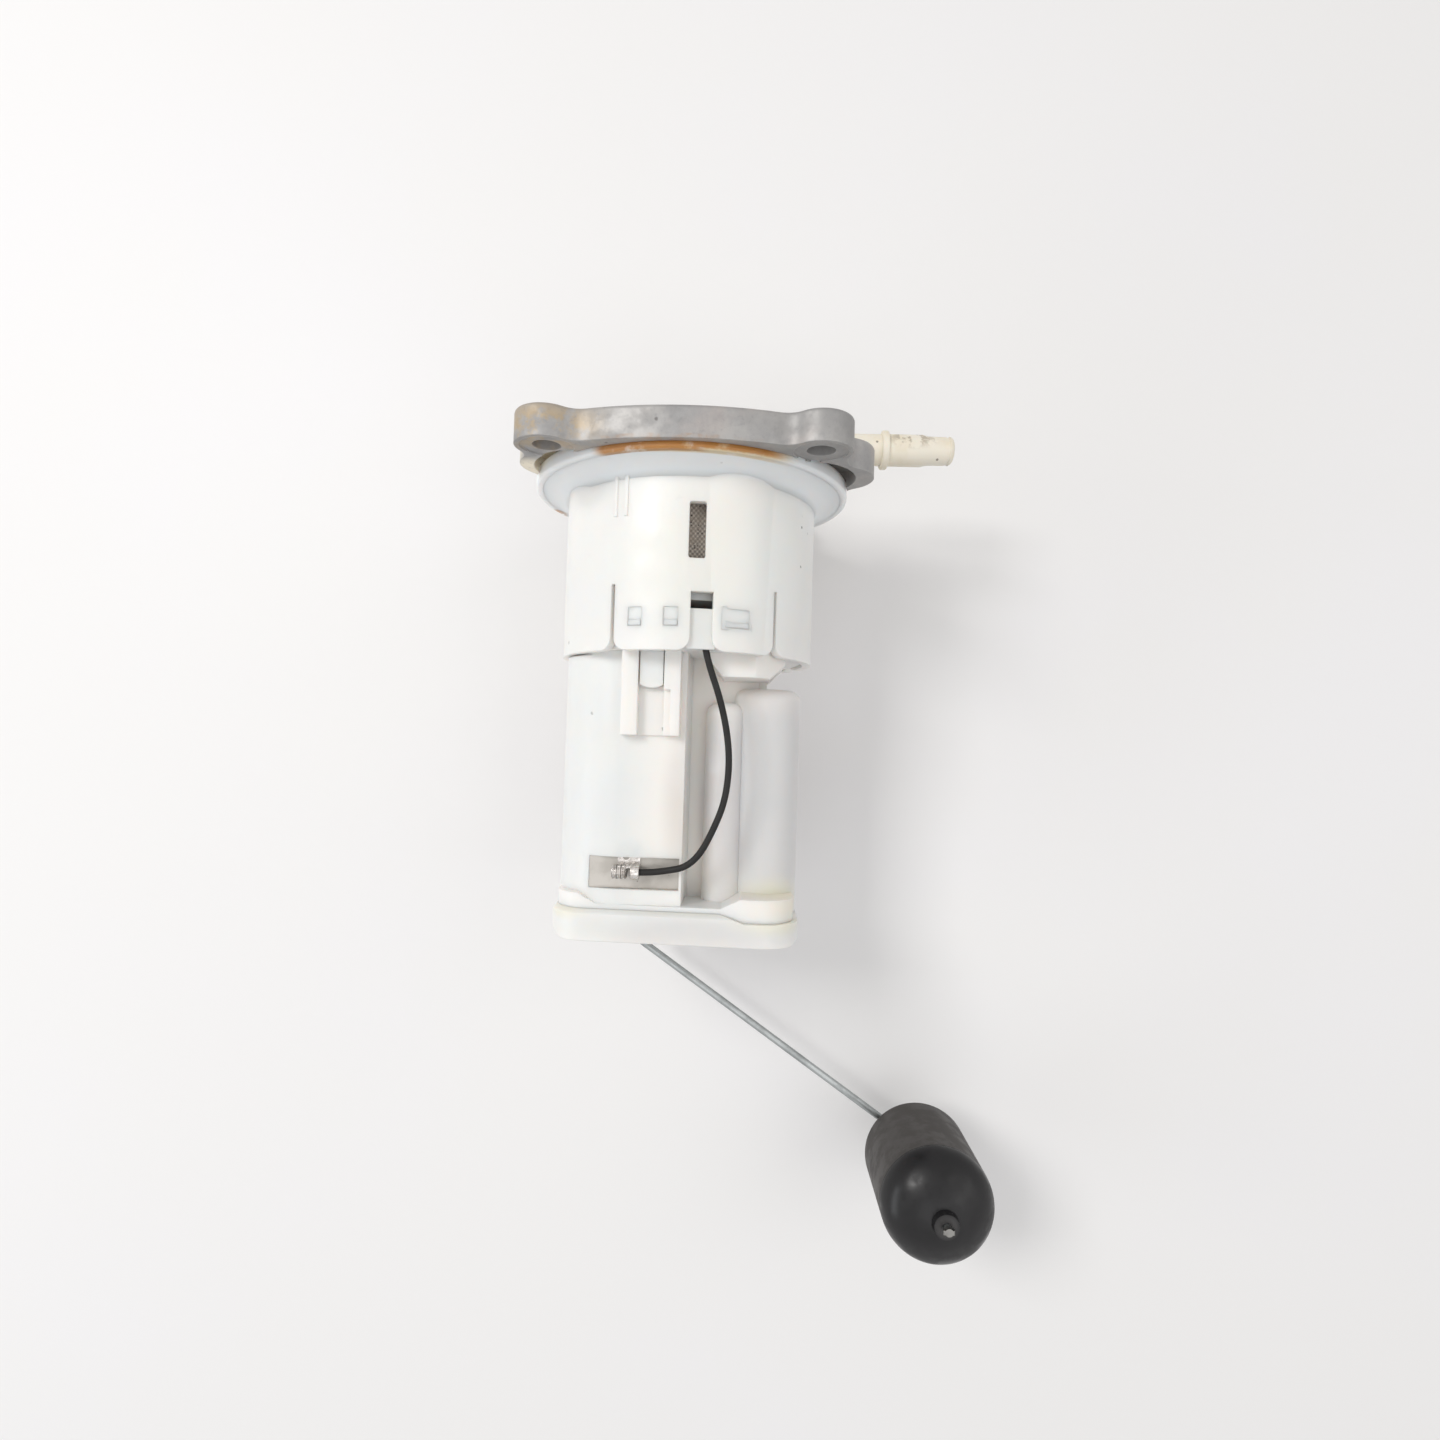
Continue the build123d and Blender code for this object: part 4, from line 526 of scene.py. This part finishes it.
# the flat plate in the holder's window: dull tin with a soft smear
plateLook = {
    "shader": {"Roughness": 0.42, "Metallic": 0.6},
    "base": (0.51, 0.485, 0.45),
    "stainsAndPaintedLight": [
        ((0.38, 0.36, 0.33), 0.6, {"clouds": (120.0, 0.4, 0.66, 6.0)}),
        ((0.36, 0.34, 0.31), 0.6, {"region": ((2, -22, -103), (18, 4, 9), 0.9)}),
        ((0.16, 0.14, 0.12), 0.6, {"specks": (620.0, 0.05, 0.2)}),
    ],
    "roughness": ((240.0, 0.35, 0.65), 0.36, 0.52),
    "edges": (0.2, 4.0),
    "bump": ({"clouds": (1300.0, 0.3, 0.7)}, 0.008, 0.8),
}

# the ground terminal: bright crimped metal, with painted shade between its ribs and in the gap before the
# jacket
crimpLook = {
    "shader": {"Roughness": 0.24, "Metallic": 1.0},
    "base": (0.66, 0.635, 0.61),
    "stainsAndPaintedLight": [
        ((0.36, 0.325, 0.295), 0.6, {"clouds": (420.0, 0.42, 0.62)}),
        # painted shade between the crimp's ribs
        ((0.09, 0.075, 0.06), 0.85, {"ribs": (1.1, 2.64, 0.25, 0.95),
                                     "region": ((-13.9, -25.8, -102.5), (2.3, 2.6, 2.6), 0.2)}),
        # painted shade in the gap before the jacket
        ((0.02, 0.017, 0.015), 0.95, {"region": ((-11.55, -25.0, -103.2), (0.65, 3.0, 2.6), 0.2)}),
        ((0.20, 0.17, 0.15), 0.5, {"clouds": (900.0, 0.55, 0.7)}),
    ],
    "roughness": ((500.0, 0.35, 0.65), 0.16, 0.36),
    "edges": (0.15, 4.0),
    "bump": ({"clouds": (900.0, 0.3, 0.7)}, 0.02, 0.8),
}


# a colour made lighter or darker
def toned(colour, factor, lift=0.0):
    return tuple(min(1.0, value * factor + lift) for value in colour)


# metals that share one make-up: worked surface, smudges and worn edges
def metalLook(colour, dark, roughness=0.32, stretch=(1.0, 1.0, 30.0), tarnish=0.35, spots=()):
    polished, dulled = roughness - 0.08, roughness + 0.12
    return {
        "shader": {"Roughness": roughness, "Metallic": 1.0},
        "base": colour,
        "stainsAndPaintedLight": [
            (dark, tarnish, {"clouds": (110.0, 0.42, 0.68, 6.0)}),
            (dark, 0.25, {"scratched": ()}),
            (toned(colour, 1.25), 0.5, {"worn": ()}),
            *spots,
        ],
        "roughness": ((220.0, 0.35, 0.65), polished, dulled),
        "edges": (0.2, 5.0),
        "scratches": {"Stretch": stretch, "Scale": 260.0, "Width": 0.06},
        "bump": ({"scratchHeight": ()}, 0.006, 0.6),
    }


# plain moulded or pressed plastics, rubber, carbon and ceramic
def mouldedLook(colour, shade, roughness=0.5, grain=900.0, depth=0.01, speck=0.0, gloss=0.5, spots=()):
    polished, dulled = roughness - 0.08, roughness + 0.1
    specks = [(toned(shade, 0.4), 0.6, {"specks": (600.0, speck, 0.22)})] if speck else []
    return {
        "shader": {"Roughness": roughness, "Specular IOR Level": gloss},
        "base": colour,
        "stainsAndPaintedLight": [
            (shade, 0.7, {"clouds": (75.0, 0.4, 0.68, 6.0)}),
            *specks,
            *spots,
            (toned(colour, 1.6, 0.004), 0.35, {"worn": ()}),
        ],
        "roughness": ((180.0, 0.35, 0.65), polished, dulled),
        "edges": (0.2, 4.0),
        "bump": ({"clouds": (grain, 0.3, 0.7, 6.0)}, depth, 0.8),
    }


# painted shade that darkens the wire's end at the float, the float's dark seam, and the greyer hub of its cap
wireTipPaintedShade = [((0.21, 0.205, 0.195), 1.0, {"region": ((75, -12, -196.8), (3, 2.4, 3), 0.3)})]
seamSpots = [((0.008, 0.008, 0.008), 1.0, {"region": ((75, 2.75, -196.8), (60, 0.3, 60), 0.3)})]
hubSpots = [((0.042, 0.040, 0.040), 1.0, {"region": ((75, -11, -196.8), (4.6, 3.2, 4.6), 0.3)})]

# every finish by the name of its material
looks = {
    "crimpSteel": crimpLook,
    "castAluminium": ringLook,
    "acetalFlange": acetalLook(flangeStainsAndPaintedLight),
    "acetalCase": acetalLook(),
    "acetalHolder": acetalLook(holderShadeAndStains),
    "acetalCover": acetalLook(coverShadeAndStains),
    "acetalSensor": acetalLook(),
    "acetalLever": acetalLook(),
    "ivoryNylon": nylonLook,
    "groundPlating": plateLook,
    "filterCloth": filterLook,
    "canPlating": canLook,
    "screwSteel": metalLook((0.60, 0.60, 0.61), (0.34, 0.33, 0.32)),
    "tinnedBrass": metalLook((0.78, 0.75, 0.69), (0.36, 0.31, 0.24), 0.24, (1.0, 1.0, 6.0), 0.3),
    "enamelledCopper": metalLook((0.60, 0.30, 0.16), (0.30, 0.12, 0.06), 0.34, (1.0, 12.0, 1.0), 0.4),
    "turnedAlloy": metalLook((0.66, 0.66, 0.65), (0.42, 0.42, 0.42), 0.3, (1.0, 1.0, 40.0), 0.25),
    "springSteel": metalLook((0.55, 0.55, 0.57), (0.30, 0.28, 0.26), 0.28, (6.0, 6.0, 1.0), 0.3),
    "carbonBlock": mouldedLook((0.05, 0.05, 0.052), (0.02, 0.02, 0.021), 0.45, 1600.0, 0.02),
    "firedFerrite": mouldedLook((0.11, 0.11, 0.12), (0.05, 0.05, 0.055), 0.6, 1100.0, 0.03),
    "darkPlastic": mouldedLook((0.14, 0.14, 0.15), (0.08, 0.08, 0.085), 0.42),
    "sealRubber": mouldedLook((0.035, 0.035, 0.037), (0.015, 0.015, 0.016), 0.62, 1400.0, 0.015),
    "whiteCeramic": mouldedLook((0.74, 0.74, 0.70), (0.60, 0.59, 0.54), 0.5, 1200.0, 0.01, 0.05),
    "zincWire": metalLook((0.40, 0.42, 0.42), (0.17, 0.18, 0.18), 0.40, (20.0, 20.0, 1.0), 0.45, wireTipPaintedShade),
    "floatGrey": mouldedLook((0.053, 0.048, 0.045), (0.044, 0.040, 0.038), 0.55, 1500.0, 0.008,
                             gloss=0.35, spots=seamSpots),
    "floatBlack": mouldedLook((0.0085, 0.008, 0.009), (0.0075, 0.0075, 0.008), 0.36, 1500.0, 0.003,
                              gloss=0.32, spots=hubSpots),
    "leadJacket": mouldedLook((0.014, 0.013, 0.0125), (0.008, 0.008, 0.008), 0.5, 1500.0, 0.01, gloss=0.3),
}
materials = {name: buildFinish(name, look).material for name, look in looks.items()}

# a node takes its own finish where it has one, and otherwise the one of its material slot
nodeFinishes = {
    "ground_terminal": "crimpSteel",
    "retaining_ring": "castAluminium",
    "flange": "acetalFlange",
    "filter_case": "acetalCase",
    "pump_holder": "acetalHolder",
    "strainer_cover": "acetalCover",
    "sensor_case": "acetalSensor",
    "arm_holder": "acetalLever",
    "outlet_joint": "ivoryNylon",
    "ground_plate": "groundPlating",
    "filter_element": "filterCloth",
    "suction_strainer": "filterCloth",
    "pump_can": "canPlating",
}
slotFinishes = {
    "can_steel": "turnedAlloy",
    "steel": "screwSteel",
    "tinned_brass": "tinnedBrass",
    "copper": "enamelledCopper",
    "pump_alloy": "turnedAlloy",
    "spring_steel": "springSteel",
    "carbon": "carbonBlock",
    "ferrite": "firedFerrite",
    "pump_plastic": "darkPlastic",
    "seal_rubber": "sealRubber",
    "ceramic": "whiteCeramic",
    "zinc_wire": "zincWire",
    "float_grey": "floatGrey",
    "float_black": "floatBlack",
    "lead_black": "leadJacket",
}


def paint(obj, material):
    if not obj.material_slots:
        obj.data.materials.append(material)
    for slot in obj.material_slots:
        slot.material = material


for row in frame["record"]["subparts"]:
    name = row["node"]
    paint(parts[name], materials[nodeFinishes.get(name) or slotFinishes[row["material_slot"]]])
print("finishes assigned")


# a copy of a node's own mesh, merged, for a piece that refines that node; it is left in edit mode
def copyNode(node, name, mergeReach=0.0005):
    bpy.ops.object.select_all(action="DESELECT")
    made = bpy.data.objects.new(name, parts[node].data.copy())
    bpy.context.scene.collection.objects.link(made)
    bpy.context.view_layer.objects.active = made
    made.select_set(True)
    bpy.ops.object.mode_set(mode="EDIT")
    bpy.ops.mesh.select_mode(type="VERT")
    bpy.ops.mesh.select_all(action="SELECT")
    bpy.ops.mesh.remove_doubles(threshold=mergeReach * mm)
    bpy.ops.mesh.customdata_custom_splitnormals_clear()
    bpy.ops.mesh.select_all(action="DESELECT")
    return made


# the piece is in edit mode before and after; the test reads a place in mm
def selectPlaces(piece, test):
    bpy.ops.mesh.select_all(action="DESELECT")
    bpy.ops.object.mode_set(mode="OBJECT")
    for vert in piece.data.vertices:
        vert.select = test(vert.co / mm)
    bpy.ops.object.mode_set(mode="EDIT")


def cutAcross(piece, test, x):
    selectPlaces(piece, test)
    bpy.ops.mesh.bisect(plane_co=(x * mm, 0, 0), plane_no=(1, 0, 0))


def scaleRing(piece, test, factor, centre):
    selectPlaces(piece, test)
    middle = [value * mm for value in centre]
    bpy.ops.transform.resize(value=(1.0, factor, factor), center_override=middle)


def closePiece(piece, smoothAngle, body, node=None):
    bpy.ops.object.mode_set(mode="OBJECT")
    bpy.ops.object.shade_smooth_by_angle(angle=math.radians(smoothAngle))
    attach(piece, body)
    if node:
        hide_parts(node)


# the outlet joint with its spigot stepped down to a rounded tip, in mm
spigotShape = {
    "height": 16.7,
    "collar": 55.6,
    "skin": (3.4, 4.1),  # the pipe's outside lies between these radii
    "near": 0.01,
    "wideEnd": 65.2,
    "wide": 1.11,
    "neckEnd": 66.8,
    "tip": [(71.6, 0.985), (72.7, 0.93)],
    "smoothAngle": 30,
}


def makeSpigot(shape):
    made = copyNode("outlet_joint", "outletSpigot")
    inner, outer = shape["skin"]

    def offAxis(place):
        return math.hypot(place.y, place.z - shape["height"])

    def onPipe(place):
        return place.x > shape["collar"] - shape["near"] and offAxis(place) < outer

    def scaleAt(x, factor):
        scaleRing(made, lambda place: abs(place.x - x) < shape["near"] and inner < offAxis(place) < outer,
                  factor, (x, 0, shape["height"]))

    for x in [shape["wideEnd"], shape["neckEnd"]] + [x for x, factor in shape["tip"]]:
        cutAcross(made, onPipe, x)
    for x in (shape["collar"], shape["wideEnd"]):
        scaleAt(x, shape["wide"])
    for x, factor in shape["tip"]:
        scaleAt(x, factor)
    closePiece(made, shape["smoothAngle"], "module", "outlet_joint")


makeSpigot(spigotShape)

# the ground terminal: its conductor barrel is crimped into rounded ribs, in mm
crimpShape = {
    "barrelX": (-15.9, -12.0),
    "axis": (-25.3, -102.3),
    "skin": (1.2, 2.0),  # the barrel's outside lies between these radii
    "inset": 0.2,
    "reach": 0.1,
    "near": 0.02,
    "grooves": [-15.05, -13.95, -12.85],
    "half": 0.28,
    "depth": 0.84,
    "swell": 1.16,
    "jacketX": (-11.1, -8.8),
    "jacketSwell": 1.08,
    "smoothAngle": 20,
}


def makeCrimp(shape):
    made = copyNode("ground_terminal", "crimpedTerminal")
    axisY, axisZ = shape["axis"]
    inner, outer = shape["skin"]
    first, last = shape["barrelX"]

    def onBarrel(place):
        return first - shape["reach"] < place.x < last + shape["reach"]

    def scaleBetween(low, high, factor):
        scaleRing(made, lambda place: low < place.x < high
                  and inner < math.hypot(place.y - axisY, place.z - axisZ) < outer,
                  factor, (0, axisY, axisZ))

    scaleBetween(first + shape["inset"], last - shape["inset"], shape["swell"])
    for middle in shape["grooves"]:
        for x in (middle - shape["half"], middle, middle + shape["half"]):
            cutAcross(made, onBarrel, x)
    for middle in shape["grooves"]:
        scaleBetween(middle - shape["near"], middle + shape["near"], shape["depth"])
    low, high = shape["jacketX"]
    scaleBetween(low - shape["reach"], high + shape["reach"], shape["jacketSwell"])
    closePiece(made, shape["smoothAngle"], "module", "ground_terminal")


makeCrimp(crimpShape)

# the hollow curve that joins the disc's underside to the skirt, in mm
coveShape = {
    "outer": 42.2,
    "inner": 34.7,
    "drop": 5.0,
    "rise": 1.4,
    "lap": 0.4,
    "steps": 9,
    "sides": 180,
    "smoothAngle": 40,
}


def makeCove(shape):
    bpy.ops.object.select_all(action="DESELECT")
    bpy.ops.mesh.primitive_circle_add(vertices=shape["sides"], radius=shape["outer"] * mm, location=(0, 0, 0))
    made = bpy.context.object
    made.name = "discCove"
    bpy.ops.object.mode_set(mode="EDIT")
    bpy.ops.mesh.select_all(action="SELECT")
    outline = []
    for step in range(1, shape["steps"] + 1):
        turn = math.radians(90 * step / shape["steps"])
        outline.append((shape["outer"] - (shape["outer"] - shape["inner"]) * math.sin(turn),
                        -shape["drop"] * (1 - math.cos(turn))))
    outline += [(shape["inner"], shape["rise"]), (shape["outer"] - shape["lap"], shape["rise"])]
    radius, height = shape["outer"], 0.0
    for nextRadius, nextHeight in outline:
        bpy.ops.mesh.extrude_edges_move(TRANSFORM_OT_translate={"value": (0, 0, (nextHeight - height) * mm)})
        factor = nextRadius / radius
        bpy.ops.transform.resize(value=(factor, factor, 1.0), center_override=(0, 0, 0))
        radius, height = nextRadius, nextHeight
    bpy.ops.mesh.select_mode(type="EDGE")
    bpy.ops.mesh.select_all(action="DESELECT")
    bpy.ops.mesh.select_non_manifold()
    bpy.ops.mesh.bridge_edge_loops()
    bpy.ops.mesh.select_all(action="SELECT")
    bpy.ops.mesh.normals_make_consistent(inside=False)
    paint(made, materials["acetalFlange"])
    closePiece(made, shape["smoothAngle"], "module")


makeCove(coveShape)

# the catches' faces, which all but close the snap windows in the skirt, in mm
catchShape = {
    "windows": [("catchFaceA", -11.2, 3.6), ("catchFaceB", -2.1, 3.6), ("catchFaceC", 14.0, 6.4)],
    "top": -36.0,
    "height": 4.6,
    "margin": 0.6,
    "near": 0.1,
    "depth": 0.16,
    "wall": 2.0,
    "sides": 360,
    "smoothAngle": 40,
}


def makeCatch(name, x, width, shape):
    middle = shape["top"] - shape["height"] / 2
    halfWidth, halfHeight = width / 2 + shape["near"], shape["height"] / 2 + shape["near"]
    corners = [vert.co / mm for vert in parts["flange"].data.vertices]
    skirtRadius = max(math.hypot(place.x, place.y) for place in corners if place.y < 0
                      and abs(place.x - x) < halfWidth and abs(place.z - middle) < halfHeight)
    bpy.ops.object.select_all(action="DESELECT")
    bpy.ops.mesh.primitive_cylinder_add(
        vertices=shape["sides"], radius=(skirtRadius - shape["depth"]) * mm,
        depth=(shape["height"] + 2 * shape["margin"]) * mm, end_fill_type="NOTHING")
    made = bpy.context.object
    made.name = name
    bpy.ops.object.mode_set(mode="EDIT")
    reach = width / 2 + shape["margin"]
    selectPlaces(made, lambda place: place.y > 0 or abs(place.x - x) > reach)
    bpy.ops.mesh.delete(type="VERT")
    bpy.ops.mesh.select_all(action="SELECT")
    bpy.ops.transform.translate(value=(0, 0, middle * mm))
    bpy.ops.object.mode_set(mode="OBJECT")
    wall = made.modifiers.new("wall", "SOLIDIFY")
    wall.thickness = shape["wall"] * mm
    bpy.ops.object.modifier_apply(modifier="wall")
    paint(made, materials["acetalFlange"])
    closePiece(made, shape["smoothAngle"], "module")


for name, x, width in catchShape["windows"]:
    makeCatch(name, x, width, catchShape)
print("spigot, crimp, cove and catches made")

# the black ground lead, from its crimp up into the skirt, in mm
leadSetup = {
    "diameter": 1.7,
    "length": 93.7,
    "roundness": 6,
    "steps": 24,
    "order": 3,
    "route": [
        (-10.2, -25.3, -102.4), (-6.0, -25.3, -102.3), (-1.6, -25.6, -101.6), (2.8, -26.1, -100.6),
        (6.4, -26.7, -97.3), (9.6, -27.2, -91.0), (12.4, -27.4, -83.6), (13.3, -27.6, -74.6),
        (12.5, -28.0, -66.2), (10.4, -28.8, -57.6), (7.4, -30.1, -49.4), (5.8, -31.1, -42.6),
        (4.6, -29.8, -37.4), (1.0, -25.2, -35.2), (-4.2, -20.2, -36.6),
    ],
}


def makeLead(setup):
    curve = bpy.data.curves.new("groundLead", "CURVE")
    curve.dimensions = "3D"
    curve.bevel_depth = setup["diameter"] / 2 * mm
    curve.bevel_resolution = setup["roundness"]
    curve.resolution_u = setup["steps"]
    curve.use_fill_caps = True
    spline = curve.splines.new("NURBS")
    spline.points.add(len(setup["route"]) - 1)
    for point, place in zip(spline.points, setup["route"]):
        point.co = (*[value * mm for value in place], 1.0)
    spline.order_u = setup["order"]
    spline.use_endpoint_u = True
    made = bpy.data.objects.new("groundLead", curve)
    bpy.context.scene.collection.objects.link(made)
    made.data.materials.append(materials["leadJacket"])
    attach(made, "module")
    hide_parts("ground_lead")


makeLead(leadSetup)
print("lead laid")

# the table top, which is seen through from behind
tableSetup = {
    "height": 50.9,  # mm along +Y, where the far lugs of the ring rest
    "size": 6.0,  # m
    "look": {
        "shader": {"Roughness": 0.5, "Specular IOR Level": 0.2},
        "base": (0.86, 0.855, 0.852),
        "stainsAndPaintedLight": [
            ((0.86, 0.855, 0.875), 0.5, {"clouds": (6.0, 0.4, 0.7)}),
            ((0.62, 0.58, 0.52), 0.5, {"specks": (22.0, 0.01, 0.04)}),
        ],
    },
}


def makeTable(setup):
    bpy.ops.object.select_all(action="DESELECT")
    bpy.ops.mesh.primitive_plane_add(size=setup["size"], location=(0, setup["height"] * mm, 0),
                                     rotation=(math.radians(90), 0, 0))
    made = bpy.context.object
    made.name = "table"
    top = buildFinish("tableTop", setup["look"])
    back = addNode(top.tree, "ShaderNodeNewGeometry")
    clear = addNode(top.tree, "ShaderNodeBsdfTransparent")
    mix = addNode(top.tree, "ShaderNodeMixShader", inputs={
        0: back.outputs["Backfacing"], 1: top.shader.outputs[0], 2: clear.outputs[0],
    })
    feed(top.tree, mix.outputs[0], top.tree.nodes["Material Output"].inputs["Surface"])
    paint(made, top.material)


makeTable(tableSetup)

# soft daylight from the window, the doorway, the ceiling and the wall; places and sizes are in m
lightTarget = (0.01, 0.0, -0.07)
lightSetup = {
    "window": {"place": (-0.66, -1.00, 0.38), "size": (0.42, 0.42), "power": 7.0,
               "colour": (1.0, 0.985, 0.965)},
    "doorway": {"place": (-1.05, -0.42, -0.42), "size": (0.3, 0.9), "power": 2.3,
                "colour": (0.93, 0.965, 1.0)},
    "ceiling": {"place": (0.25, -1.15, -0.55), "size": (1.4, 0.8), "power": 3.0,
                "colour": (0.99, 0.99, 1.0)},
    "wall": {"place": (0.95, -0.95, 0.10), "size": (1.0, 1.0), "power": 3.0,
             "colour": (1.0, 0.985, 0.965)},
}


def addSoftBox(name, setup, target):
    data = bpy.data.lights.new(name, "AREA")
    data.shape = "RECTANGLE"
    data.size, data.size_y = setup["size"]
    data.energy = setup["power"]
    data.color = setup["colour"]
    made = bpy.data.objects.new(name, data)
    made.location = setup["place"]
    made.rotation_euler = (Vector(target) - made.location).to_track_quat("-Z", "Y").to_euler()
    bpy.context.scene.collection.objects.link(made)


for name, setup in lightSetup.items():
    addSoftBox(name, setup, lightTarget)

# the world lights the module less than it shows behind the table and in its gloss
worldSetup = {
    "colour": (1.0, 0.99, 0.985),
    "light": 0.44,
    "shown": 0.90,
}


def makeWorld(setup):
    world = bpy.data.worlds.new("studio")
    bpy.context.scene.world = world
    world.use_nodes = True
    tree = world.node_tree
    sky = tree.nodes["Background"]
    rays = addNode(tree, "ShaderNodeLightPath", (-600, 0)).outputs
    seen = mathNode(tree, "MAXIMUM", rays["Is Camera Ray"], rays["Is Glossy Ray"])
    feed(tree, rampNode(tree, seen, 0, 1, setup["light"], setup["shown"]), sky.inputs["Strength"])
    feed(tree, setup["colour"], sky.inputs["Color"])


makeWorld(worldSetup)
bpy.context.scene.view_settings.view_transform = "Standard"
print("table and lights placed")
